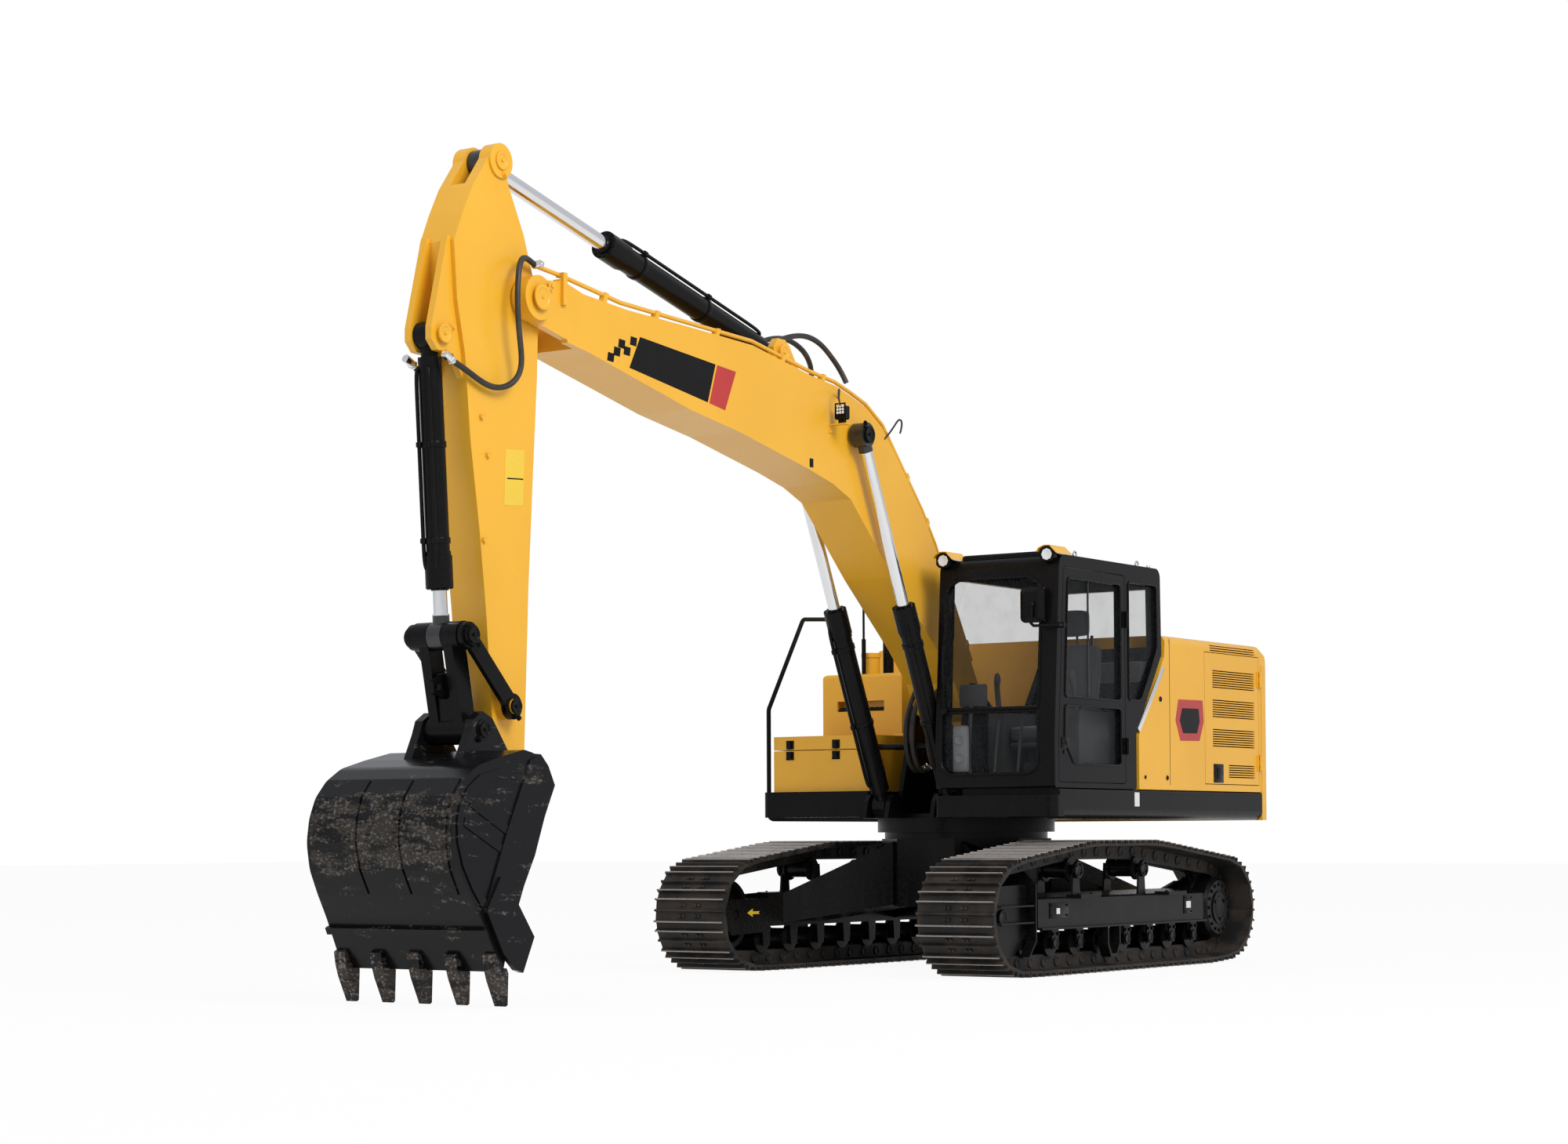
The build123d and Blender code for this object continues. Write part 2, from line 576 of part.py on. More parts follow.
def boom_shape():
    """The boom's outline: share of the way from foot to point, height over that line."""
    lower = [(0.017, -150), (0.053, 6), (0.109, 125), (0.24, 334), (0.339, 528), (0.365, 580),
             (0.408, 570), (0.463, 515), (0.606, 341), (0.705, 194), (0.89, -13), (0.93, -70)]
    return [BOOM_LINE.at(*row) for row in lower + BOOM_TOP]


FORK_DEPTH = 512.0
FORK_INNER = ARM_BOSS_HALF + SIDE_PLAY
FORK_OUTER = 255.0
FOOT_RADIUS = 150.0
POINT_RADIUS = 135.0


def boom():
    line = BOOM_LINE
    body = plate(boom_shape(), -BOOM_HALF_WIDTH, BOOM_HALF_WIDTH)
    body += pin(BOOM_FOOT, FOOT_RADIUS, -BOOM_HALF_WIDTH, BOOM_HALF_WIDTH)
    # fork ears round the boom point
    ears = plate([line.at(0.90, -20), line.at(1.0, -POINT_RADIUS), line.at(1.012, -90),
                  line.at(1.02, 20), line.at(1.0, POINT_RADIUS), line.at(0.965, 240),
                  line.at(0.92, 270)],
                 -BOOM_HALF_WIDTH, BOOM_HALF_WIDTH)
    body += ears
    body += pin(BOOM_POINT, POINT_RADIUS, -FORK_OUTER, FORK_OUTER)
    slot_back = 1 - FORK_DEPTH / line.length
    slot = plate([line.at(slot_back, -400), line.at(1.1, -400), line.at(1.1, 500),
                  line.at(slot_back, 500)], -FORK_INNER, FORK_INNER)
    body -= slot
    body += pin(BOOM_POINT, PIN_RADIUS, -FORK_OUTER - 20, FORK_OUTER + 20)
    # lugs for the arm cylinder's foot
    kx, kz = ARM_CYLINDER_FOOT
    lug = plate([(kx - 260, kz - 150), (kx - 100, kz + 60), (kx - 45, kz + 98),
                 (kx + 45, kz + 98), (kx + 95, kz + 35), (kx + 98, kz - 60), (kx + 110, kz - 150)],
                EYE_HALF_WIDTH + SIDE_PLAY, EYE_HALF_WIDTH + SIDE_PLAY + 50)
    body += both(lug)
    body += pin(ARM_CYLINDER_FOOT, PIN_RADIUS, -EYE_HALF_WIDTH - 75, EYE_HALF_WIDTH + 75)
    # bosses that the boom cylinders' rods stand beside
    body += pin(BOOM_CYLINDER_HEAD, 85, -BOOM_HALF_WIDTH - 8, BOOM_HALF_WIDTH + 8)
    body -= pin(BOOM_FOOT, PIN_RADIUS + PIN_PLAY, -BOOM_HALF_WIDTH - 1, BOOM_HALF_WIDTH + 1)
    # the lamp's bracket on the left side
    x, z = BOOM_LAMP
    body += box((x - 30, BOOM_HALF_WIDTH - 1, z), (x + 30, BOOM_HALF_WIDTH + 140, z + 8))
    body += box((x - 30, BOOM_HALF_WIDTH - 1, z - 50), (x + 30, BOOM_HALF_WIDTH + 8, z + 4))
    return body


BOOM_LAMP = (2170.0, 3812.0)


def boom_lamp():
    """A square work lamp on a short foot."""
    x, z = BOOM_LAMP
    y = BOOM_HALF_WIDTH + 95
    base = z + 8 + SEAT
    lamp = box((x - 22, y - 46, base + 26), (x + 26, y + 46, base + 122))
    lamp = fillet(lamp.edges().filter_by(Axis.X), 14)
    return lamp + box((x - 14, y - 24, base), (x + 14, y + 24, base + 30))


PIPE_Y = 185.0
PIPE_RADIUS = 14.0
# share of the way from the boom's foot to its point, height over that line
PIPE_RUN = [(1.008, 205), (0.965, 286), (0.862, 452), (0.755, 689), (0.623, 984), (0.503, 1155),
            (0.448, 1250), (0.412, 1284), (0.376, 1309), (0.331, 1283), (0.294, 1192),
            (0.207, 982), (0.160, 836), (0.02, 278)]
PIPE_CLAMPS = (0.89, 0.80, 0.69, 0.56, 0.475, 0.255, 0.19, 0.10, 0.04)
CLAMP_HALF = 18.0
PIPE_POST = 5185.0


def height_at(share, rows):
    """The height that rows of (share, height) have at a share between them."""
    for (s1, h1), (s0, h0) in zip(rows, rows[1:]):
        if s0 <= share <= s1:
            return h0 + (h1 - h0) * (share - s0) / (s1 - s0)
    raise ValueError(share)


def boom_pipes():
    """A pipe along each edge of the boom's top, on its clamps and a post at the fork."""
    points = [at(BOOM_LINE.at(*row), PIPE_Y) for row in PIPE_RUN]
    path = FilletPolyline(*points, radius=60)
    pipe = sweep(Plane(origin=path @ 0, z_dir=path % 0) * Circle(PIPE_RADIUS), path=path)
    width = CLAMP_HALF / BOOM_LINE.length
    for share in PIPE_CLAMPS:
        ends = (share - width, share + width)
        foot = [BOOM_LINE.at(s, height_at(s, BOOM_TOP) + 1.3 * SEAT) for s in ends]
        top = [BOOM_LINE.at(s, height_at(s, PIPE_RUN) + 16) for s in ends]
        pipe += plate(foot + top[::-1], PIPE_Y - 20, PIPE_Y + 20)
    x = PIPE_POST
    pipe += box((x - 20, BOOM_HALF_WIDTH + SEAT, 4215), (x + 20, BOOM_HALF_WIDTH + 24, 4412))
    pipe += box((x - 20, PIPE_Y - 16, 4386), (x + 20, BOOM_HALF_WIDTH + 24, 4412))
    return both(pipe)


# --- arm ------------------------------------------------------------------------------------------
HEAD_RADIUS = 105.0


def arm():
    line = Along(BOOM_POINT, BUCKET_PIN)
    # share of the way from boom point to bucket pin, distance in front of that line
    rear = [(-0.290, 330), (-0.258, 199), (-0.227, 180), (-0.133, 17), (-0.05, -86),
            (0.053, -146), (0.151, -151), (0.349, -140), (0.594, -128), (0.96, -135)]
    front = [(1.0, 120), (0.933, 153), (0.657, 264), (0.501, 344), (0.316, 457), (0.145, 531),
             (0.039, 618), (-0.078, 662), (-0.144, 586), (-0.201, 507)]
    body = plate([line.at(*row) for row in rear + front], -ARM_HALF_WIDTH, ARM_HALF_WIDTH)
    body += pin(BUCKET_PIN, 140, -ARM_HALF_WIDTH, ARM_HALF_WIDTH)
    body += pin(BUCKET_PIN, 105, -BUCKET_EAR_INNER + SIDE_PLAY, BUCKET_EAR_INNER - SIDE_PLAY)
    body += pin(BOOM_POINT, 120, -ARM_BOSS_HALF, ARM_BOSS_HALF)
    body += pin(ARM_CYLINDER_HEAD, HEAD_RADIUS, -ARM_HALF_WIDTH - 14, ARM_HALF_WIDTH + 14)
    # the cross shaft that carries the idler links
    body += pin(LINK_PIVOT, 80, -LINK_PLATE_INNER + SIDE_PLAY, LINK_PLATE_INNER - SIDE_PLAY)
    body += pin(LINK_PIVOT, PIN_RADIUS, -LINK_PLATE_OUTER - 16, LINK_PLATE_OUTER + 16)
    # lugs for the bucket cylinder's foot
    ex, ez = BUCKET_CYLINDER_FOOT
    lug = plate([(ex - 250, ez - 330), (ex - 100, ez - 105), (ex + 40, ez - 98), (ex + 95, ez - 40),
                 (ex + 95, ez + 35), (ex - 52, ez + 590), (ex - 140, ez + 575)],
                EYE_HALF_WIDTH + SIDE_PLAY, EYE_HALF_WIDTH + SIDE_PLAY + 45)
    body += both(lug)
    # slot between the head's two ears, open to the rear and the top
    slot = plate([line.at(-0.36, 600), line.at(-0.36, -200), line.at(-0.11, -200),
                  line.at(-0.11, 240), line.at(-0.20, 400), line.at(-0.22, 600)],
                 -EYE_HALF_WIDTH - SIDE_PLAY, EYE_HALF_WIDTH + SIDE_PLAY)
    body -= slot
    body += pin(BUCKET_CYLINDER_FOOT, PIN_RADIUS, -EYE_HALF_WIDTH - 70, EYE_HALF_WIDTH + 70)
    body -= pin(BOOM_POINT, PIN_RADIUS + PIN_PLAY, -ARM_BOSS_HALF - 1, ARM_BOSS_HALF + 1)
    body -= pin(BUCKET_PIN, PIN_RADIUS + PIN_PLAY, -BUCKET_EAR_INNER, BUCKET_EAR_INNER)
    return body


# --- cylinders ------------------------------------------------------------------------------------
NECK_RADIUS = 50.0


class Ram:
    """A hydraulic cylinder from its foot pin to its rod's pin, in the plane y."""

    def __init__(self, foot, head, y, radius, rod_radius, barrel, reach):
        self.line = Along(foot, head)
        self.foot, self.head, self.y = foot, head, y
        self.radius, self.rod_radius = radius, rod_radius
        self.barrel_length = barrel      # foot pin to the gland's face
        self.reach = reach               # rod's pin to the rod's inner end

    def point(self, along):
        return at(self.line.at(along / self.line.length, 0), self.y)

    def barrel(self):
        r = self.radius
        body = bar(self.point(60), self.point(150), NECK_RADIUS)
        body += bar(self.point(130), self.point(self.barrel_length - 20), r)
        body += bar(self.point(self.barrel_length - 190), self.point(self.barrel_length), r + 12)
        body += bar(self.point(self.barrel_length - 215), self.point(self.barrel_length - 185), r + 6)
        body += pin(self.foot, 82, self.y - EYE_HALF_WIDTH, self.y + EYE_HALF_WIDTH)
        body -= bar(self.point(120), self.point(self.barrel_length + 1), self.rod_radius + PIN_PLAY)
        body -= pin(self.foot, PIN_RADIUS + PIN_PLAY, self.y - EYE_HALF_WIDTH - 1,
                    self.y + EYE_HALF_WIDTH + 1)
        return body

    def rod(self):
        length = self.line.length
        body = bar(self.point(length - self.reach), self.point(length - 60), self.rod_radius)
        body += bar(self.point(length - 130), self.point(length - 60), NECK_RADIUS)
        body += pin(self.head, 85, self.y - EYE_HALF_WIDTH, self.y + EYE_HALF_WIDTH)
        return body


BOOM_RAM = Ram(BOOM_CYLINDER_FOOT, BOOM_CYLINDER_HEAD, BOOM_CYLINDER_Y, 72.0, 43.0, 1560.0, 1790.0)
ARM_RAM = Ram(ARM_CYLINDER_FOOT, ARM_CYLINDER_HEAD, 0.0, 80.0, 49.0, 1920.0, 2080.0)
BUCKET_RAM = Ram(BUCKET_CYLINDER_FOOT, LINK_TOP, 0.0, 70.0, 42.0, 1480.0, 1530.0)


# --- bucket linkage -------------------------------------------------------------------------------
def idler_links():
    line = Along(LINK_PIVOT, LINK_TOP)
    bar_plate = plate([line.at(0, -52), line.at(1, -52), line.at(1, 52), line.at(0, 52)],
                      LINK_PLATE_INNER, LINK_PLATE_OUTER)
    for centre in (LINK_PIVOT, LINK_TOP):
        bar_plate += pin(centre, 78, LINK_PLATE_INNER, LINK_PLATE_OUTER)
    bar_plate += pin(LINK_TOP, 60, LINK_PLATE_OUTER, LINK_PLATE_OUTER + 26)
    bar_plate -= pin(LINK_PIVOT, PIN_RADIUS + PIN_PLAY, LINK_PLATE_INNER - 1, LINK_PLATE_OUTER + 1)
    return both(bar_plate)


EYE_PLATE = 28.0
LIFTING_EYE = (0.5, -108)     # share of the way up the link, height over its middle line
LIFTING_EYE_RADIUS = 26.0
LINK_TOP_HALF = LINK_PLATE_INNER - 8
LINK_BOTTOM_HALF = BUCKET_EAR_INNER - SIDE_PLAY


def bucket_link():
    """The H-shaped link: two ears at the rod's eye, a box waist, a boss between the ears below."""
    line = Along(BUCKET_LINK_PIN, LINK_TOP)
    inner = EYE_HALF_WIDTH + SIDE_PLAY
    cheeks = plate([line.at(0.0, -62), line.at(1.0, -70), line.at(1.0, 56), line.at(0.0, 56)],
                   inner, 125)
    link = both(cheeks)
    link += both(pin(LINK_TOP, 85, inner, LINK_TOP_HALF))
    web = plate([line.at(0.0, -55), line.at(0.62, -40), line.at(0.62, 40), line.at(0.0, 55)],
                -inner, inner)
    link += web
    link += pin(BUCKET_LINK_PIN, 85, -LINK_BOTTOM_HALF, LINK_BOTTOM_HALF)
    link -= pin(BUCKET_LINK_PIN, PIN_RADIUS + PIN_PLAY, -LINK_BOTTOM_HALF - 1, LINK_BOTTOM_HALF + 1)
    # the lifting eye in front of the web
    eye = plate([line.at(0.34, -38), line.at(0.36, -70), line.at(0.44, -150), line.at(0.56, -150),
                 line.at(0.61, -70), line.at(0.61, -38)], -EYE_PLATE / 2, EYE_PLATE / 2)
    eye -= pin(line.at(*LIFTING_EYE), LIFTING_EYE_RADIUS, -EYE_PLATE, EYE_PLATE)
    link += eye
    return link


# --- bucket ---------------------------------------------------------------------------------------
WRAPPER = 22.0
SIDE_PLATE = 25.0


def from_bucket_pin(points):
    return [(BUCKET_PIN[0] + x, BUCKET_PIN[1] + z) for x, z in points]


# from the bucket's pin: the wrapper's outside from the hinge to the lip with the radius of each
# corner, and the edge of the mouth
BACK = [(170, 42), (240, 172), (330, 190), (564, 140), (765, 88), (888, 12), (972, -86), (1014, -205),
        (1024, -345), (986, -500), (908, -640), (817, -785), (651, -1084)]
BACK_RADII = [1, 25, 60, 200, 200, 140, 150, 200, 260, 300, 300, 200, 1]
MOUTH = [(600, -960), (465, -701), (276, -361), (59, -14), (110, 100), (173, 166)]
# the sides close in towards the top: half width and height of each end
TAPER = [(BUCKET_HALF_WIDTH + 27, -1200.0), (BUCKET_HALF_WIDTH - 90, 300.0)]


def beside(points, gap):
    """An open line of (x, z) points moved by gap, to the left of its direction."""
    moved = []
    for i, (x, z) in enumerate(points):
        before, after = points[max(i - 1, 0)], points[min(i + 1, len(points) - 1)]
        ins = Along(before, (x, z)) if i else Along((x, z), after)
        outs = Along((x, z), after) if i < len(points) - 1 else ins
        share = 1 + ins.ux * outs.ux + ins.uz * outs.uz
        moved.append((x - gap * (ins.uz + outs.uz) / share, z + gap * (ins.ux + outs.ux) / share))
    return moved


def taper(extra):
    """A long wedge whose sides stand outside the side plates by extra."""
    (wide, low), (narrow, high) = TAPER
    corners = [(-wide - extra, low), (wide + extra, low), (narrow + extra, high),
               (-narrow - extra, high)]
    face = outline([(BUCKET_PIN[0] - 300, y, BUCKET_PIN[1] + z) for y, z in corners])
    return extrude(face, amount=1600, dir=(1, 0, 0))


# on the bucket's side plates, from its pin: a rib round the back, a strip along the mouth, the
# cutter at the lip and two spokes
SIDE_RIB = [(300, 60), (560, 78), (745, 40), (862, -30), (942, -122), (978, -220), (985, -345),
            (950, -485), (876, -620), (800, -720), (752, -684), (845, -590), (912, -460), (940, -340),
            (930, -235), (895, -150), (820, -75), (715, -12), (560, 20), (330, 10)]
MOUTH_STRIP = [(290, 130), (232, 150), (95, -14), (304, -423), (492, -700), (575, -745),
               (796, -732), (770, -690), (552, -298)]
SIDE_CUTTER = [(794, -732), (649, -543), (502, -707), (379, -891), (503, -1093), (565, -1075),
               (669, -979)]
SPOKES = [[(838, -95), (862, -140), (535, -308), (512, -262)],
          [(905, -205), (925, -250), (600, -410), (580, -366)]]
WEAR_PLATES = [(-500, -172), (-152, 152), (172, 500)]          # their two sides
WEAR_ROWS = slice(5, 11)                                       # of the wrapper's corners


def bucket_forms():
    """What stands out on the side plates and the back."""
    forms = []
    heights = [(SIDE_RIB, 9), (MOUTH_STRIP, 12), (SIDE_CUTTER, 30)] + [(s, 7) for s in SPOKES]
    for shape, height in heights:
        piece = plate(from_bucket_pin(shape), -700, 700) & (taper(height) - taper(-1))
        forms += piece.solids()
    run = BACK[WEAR_ROWS]
    band = from_bucket_pin(beside(run, -8) + beside(run, 9)[::-1])
    for y0, y1 in WEAR_PLATES:
        forms.append(plate(band, y0, y1))
    flat = Along(*from_bucket_pin(BACK[-2:]))
    bar_shape = [flat.at(0.16, -1), flat.at(0.16, 26), flat.at(0.29, 26), flat.at(0.29, -1)]
    forms.append(plate(bar_shape, -700, 700) & taper(10))
    return forms


def bucket():
    """Wrapper plate, two side plates, hinge ears with the two pins, and what stands on them."""
    inner_radii = [max(radius - WRAPPER, 1) for radius in BACK_RADII]
    wrapper = plate(from_bucket_pin(BACK + beside(BACK, -WRAPPER)[::-1]), -700, 700,
                    BACK_RADII + inner_radii[::-1])
    sides = plate(from_bucket_pin(beside(BACK[1:], -3) + MOUTH), -700, 700)
    shell = (wrapper & taper(0)) + (sides & (taper(0) - taper(-SIDE_PLATE)))
    ear = plate(from_bucket_pin([(-105, 10), (-60, -95), (60, -100), (200, 20), (260, 150),
                                 (560, 110), (470, 290), (440, 370), (360, 420), (270, 380),
                                 (60, 110), (-60, 100)]),
                BUCKET_EAR_INNER, BUCKET_EAR_OUTER)
    shell += both(ear)
    for form in bucket_forms():
        shell += form
    for centre in (BUCKET_PIN, BUCKET_LINK_PIN):
        shell += pin(centre, PIN_RADIUS, -BUCKET_EAR_OUTER - 5, BUCKET_EAR_OUTER + 5)
        shell += both(pin(centre, 62, BUCKET_EAR_OUTER - 2, BUCKET_EAR_OUTER + 7))
    return shell


# a tooth's profile: share of the wrapper's last flat, height outside it
TOOTH = [(0.64, 0.3), (0.64, 22), (0.84, 46), (1.05, 60), (1.55, 68), (1.55, 50), (1.10, -44),
         (1.001, -44), (1.001, 0.3)]


def bucket_teeth():
    teeth = []
    lip = Along(*from_bucket_pin(BACK[-2:]))
    for i in range(TOOTH_COUNT):
        y = -TOOTH_SPAN / 2 + i * TOOTH_SPAN / (TOOTH_COUNT - 1)
        tooth = plate([lip.at(*row) for row in TOOTH], y - 42, y + 42)
        teeth.append(tooth)
    return Compound(children=teeth)


# --- cab ------------------------------------------------------------------------------------------
CAB_OUTLINE = [(1085, CAB_FLOOR), (1088, 1650), (1000, CAB_ROOF), (-560, CAB_ROOF), (-575, 2313),
               (-157, 1719), (-157, CAB_FLOOR)]
CAB_CORNER_RADII = [20, 60, 90, 70, 40, 40, 20]
CAB_INSIDE = [(1030, CAB_FLOOR + 50), (1033, 1650), (948, 2890), (-505, 2890), (-518, 2330),
              (-102, 1737), (-102, CAB_FLOOR + 50)]
WINDSCREEN = (CAB_INNER_Y + 45, CAB_OUTER_Y - 135)     # its two sides
# of each pane: bottom, top, and the radii of its two lower and its two upper corners
WINDSCREEN_PANES = [(1875.0, 2800.0, 22, 125), (1410.0, 1850.0, 95, 22)]
QUARTER_WINDOW = [(-40, 2820), (-490, 2820), (-500, 2340), (-230, 1960), (-40, 1960)]
SIDE_WINDOW = [(930, 1750), (880, 2820), (-490, 2820), (-500, 2340), (-130, 1820)]
ROOF_HATCH = (250.0, 935.0, CAB_INNER_Y + 145, CAB_OUTER_Y - 160)
REAR_WINDOW = (CAB_INNER_Y + 95, CAB_OUTER_Y - 95, 2370.0, 2800.0)
DOOR_OUTLINE = [(DOOR_REAR, DOOR_BOTTOM), (DOOR_FRONT + 30, DOOR_BOTTOM),
                (DOOR_FRONT + 28, 1700), (DOOR_FRONT - 55, DOOR_TOP), (DOOR_REAR, DOOR_TOP)]
DOOR_UPPER = [(DOOR_REAR + 75, 1950), (DOOR_FRONT - 65, 1950), (DOOR_FRONT - 118, DOOR_TOP - 75),
              (DOOR_REAR + 75, DOOR_TOP - 75)]
DOOR_LOWER = [(DOOR_REAR + 75, 1480), (DOOR_FRONT - 190, 1480), (DOOR_FRONT - 55, 1640),
              (DOOR_FRONT - 65, 1890), (DOOR_REAR + 75, 1890)]


def pane(points, y0, y1, gap):
    """A plate with 30 mm corners, smaller than its outline by gap all round."""
    face = outline([(x, y0, z) for x, z in points], 30)
    return extrude(offset(face, -gap), amount=y1 - y0, dir=(0, 1, 0))


def front_panes(gap):
    """Blocks across the windscreen's plane, one for each pane, smaller by gap all round."""
    y0, y1 = WINDSCREEN
    blocks = []
    for z0, z1, low, high in WINDSCREEN_PANES:
        points = [(900, y0 + gap, z0 + gap), (900, y1 - gap, z0 + gap), (900, y1 - gap, z1 - gap),
                  (900, y0 + gap, z1 - gap)]
        face = make_face(FilletPolyline(*points, radius=[low, low, high, high], close=True))
        blocks.append(extrude(face, amount=300, dir=(1, 0, 0)))
    return blocks


def cab_hinges():
    x = DOOR_REAR + DOOR_CLEAR / 2
    return [hinge(upright(x, CAB_OUTER_Y, z)) for z in (1560, 2480)]


def cab_frame():
    """The cab's walls and roof, with openings for the door and windows, and a roof hatch."""
    shell = plate(CAB_OUTLINE, CAB_INNER_Y, CAB_OUTER_Y, CAB_CORNER_RADII)
    shell -= plate(CAB_INSIDE, CAB_INNER_Y + CAB_WALL, CAB_OUTER_Y - CAB_WALL, 20)
    for block in front_panes(0):
        shell -= block
    shell -= plate(QUARTER_WINDOW, CAB_OUTER_Y - CAB_WALL - 1, CAB_OUTER_Y + 1, 30)
    shell -= plate(SIDE_WINDOW, CAB_INNER_Y - 1, CAB_INNER_Y + CAB_WALL + 1, 30)
    shell -= plate(DOOR_OUTLINE, CAB_OUTER_Y - CAB_WALL - 1, CAB_OUTER_Y + 1, 30)
    y0, y1, z0, z1 = REAR_WINDOW
    shell -= box((-700, y0, z0), (-450, y1, z1))
    x0, x1, y0, y1 = ROOF_HATCH
    hatch = box((x0, y0, CAB_ROOF - 10), (x1, y1, CAB_ROOF + 34))
    shell += chamfer(hatch.edges().group_by(Axis.Z)[-1], 12)
    for fixed, _ in cab_hinges():
        shell += fixed
    return shell


def windscreen_band():
    """The slanted layer in the cab's front wall that the windscreen's panes fill."""
    return plate([(1058, CAB_FLOOR), (1061, 1650), (976, 2900), (976 + GLASS, 2900),
                  (1061 + GLASS, 1650), (1058 + GLASS, CAB_FLOOR)], CAB_INNER_Y, CAB_OUTER_Y)


def cab_glass():
    band = windscreen_band()
    panes = [block & band for block in front_panes(SEAL)]
    outer = CAB_OUTER_Y - CAB_WALL / 2
    panes.append(pane(QUARTER_WINDOW, outer, outer + GLASS, SEAL))
    inner = CAB_INNER_Y + CAB_WALL / 2
    panes.append(pane(SIDE_WINDOW, inner, inner + GLASS, SEAL))
    y0, y1, z0, z1 = REAR_WINDOW
    panes.append(box((-545, y0 + SEAL, z0 + SEAL), (-545 + GLASS, y1 - SEAL, z1 - SEAL)))
    return Compound(children=[Solid(p.solids()[0].wrapped) for p in panes])


def cab_door():
    y0, y1 = CAB_OUTER_Y - CAB_WALL, CAB_OUTER_Y
    door = pane(DOOR_OUTLINE, y0, y1, DOOR_CLEAR)
    door -= plate(DOOR_UPPER, y0 - 1, y1 + 1, 30)
    door -= plate(DOOR_LOWER, y0 - 1, y1 + 1, 30)
    for _, moving in cab_hinges():
        door += moving
    return door


def door_glass():
    middle = CAB_OUTER_Y - CAB_WALL / 2
    panes = [pane(points, middle, middle + GLASS, SEAL) for points in (DOOR_UPPER, DOOR_LOWER)]
    return Compound(children=[Solid(p.solids()[0].wrapped) for p in panes])


LAMP_YS = (CAB_INNER_Y + 50, CAB_OUTER_Y - 73)
LAMP_Z = CAB_ROOF - 4
LAMP_BACK, LAMP_FRONT = 1004.0, 1050.0
LAMP_HOOD = (832.0, 928.0, 1064.0)       # its rear, the front of its legs, its front
LAMP_HOOD_SHEET = 5.0


def cab_lamps():
    """The two work lamps before the roof's front corners, each on a flat bracket."""
    lamps = []
    for y in LAMP_YS:
        z = LAMP_Z
        points = [(-57, -26), (-34, -50), (34, -50), (57, -26), (57, 26), (34, 50), (-34, 50), (-57, 26)]
        face = outline([(LAMP_BACK, y + a, z + b) for a, b in points])
        lamp = extrude(face, amount=LAMP_FRONT - LAMP_BACK, dir=(1, 0, 0))
        lamp += box((860, y - 30, CAB_ROOF + SEAT), (LAMP_BACK + 8, y + 30, CAB_ROOF + 7))
        lamps.append(lamp)
    return Compound(children=lamps)


def lamp_hoods():
    """A folded sheet over each lamp, standing on the roof behind it."""
    foot = CAB_ROOF + SEAT - LAMP_Z
    x0, x1, x2 = LAMP_HOOD
    t = LAMP_HOOD_SHEET
    # across and over the lamp's middle
    upper = [(-78, 22), (-62, 48), (-15, 66), (30, 64), (88, foot)]
    lower = [(88 - 1.4 * t, foot), (28, 64 - t), (-14, 66 - t), (-62 + t, 48 - t), (-78 + t, 22)]
    leg = [(-78, foot), (-78, 24), (-78 + t, 24), (-78 + t, foot)]
    hoods = []
    for y in LAMP_YS:
        top = outline([(x0, y + a, LAMP_Z + b) for a, b in upper + lower])
        side = outline([(x0, y + a, LAMP_Z + b) for a, b in leg])
        hoods.append(extrude(top, amount=x2 - x0, dir=(1, 0, 0))
                     + extrude(side, amount=x1 - x0, dir=(1, 0, 0)))
    return Compound(children=hoods)


MIRROR_BACK, MIRROR_FRONT = 1062.0, 1106.0
MIRROR = (1081.0, 1272.0, 2468.0, 2719.0)


def cab_mirror():
    """The mirror at the door's front pillar: a dished back on a bent arm."""
    y0, y1, z0, z1 = MIRROR
    layers = []
    for x, inset, radius in ((MIRROR_BACK, 0, 40), (MIRROR_BACK + 18, 0, 40), (MIRROR_FRONT, 34, 22)):
        points = [(x, y0 + inset, z0 + inset), (x, y1 - inset, z0 + inset),
                  (x, y1 - inset, z1 - inset), (x, y0 + inset, z1 - inset)]
        layers.append(outline(points, radius))
    body = extrude(layers[0], amount=18, dir=(1, 0, 0)) + loft(layers[1:])
    joint = (MIRROR_FRONT + 12, (y0 + y1) / 2 + 16, (z0 + z1) / 2)
    path = [(1003, CAB_OUTER_Y + 30, 2447), (1066, CAB_OUTER_Y + 28, 2444),
            (1140, joint[1] + 26, 2440), (1134, joint[1], 2462), joint]
    for start, end in zip(path, path[1:]):
        body += bar(start, end, 10)
    for point in path[1:-1]:
        body += Pos(*point) * Sphere(10)
    body += Pos(*joint) * Sphere(20)
    return body + bar((1003, CAB_OUTER_Y + SEAT, 2447), (1003, CAB_OUTER_Y + 42, 2447), 20)


CAB_SPACE = CAB_OUTER_Y - CAB_INNER_Y - 2 * CAB_WALL
SEAT_HALF = 0.289 * CAB_SPACE
PODS = (0.295 * CAB_SPACE, 0.428 * CAB_SPACE)       # the consoles' two sides, from the middle


def operator_seat():
    y = (CAB_INNER_Y + CAB_OUTER_Y) / 2
    w = SEAT_HALF
    base = box((-20, y - w + 60, CAB_FLOOR + 50), (380, y + w - 60, CAB_FLOOR + 330))
    cushion = box((-40, y - w, CAB_FLOOR + 330), (470, y + w, CAB_FLOOR + 470))
    back = plate([(0, CAB_FLOOR + 440), (90, CAB_FLOOR + 460), (-10, CAB_FLOOR + 1080),
                  (-110, CAB_FLOOR + 1060)], y - w + 10, y + w - 10, 20)
    head = plate([(-90, CAB_FLOOR + 1120), (0, CAB_FLOOR + 1125), (-20, CAB_FLOOR + 1330),
                  (-110, CAB_FLOOR + 1320)], y - 150, y + 150, 20)
    posts = box((-70, y - 70, CAB_FLOOR + 1040), (-45, y + 70, CAB_FLOOR + 1160))
    return base + cushion + back + head + posts


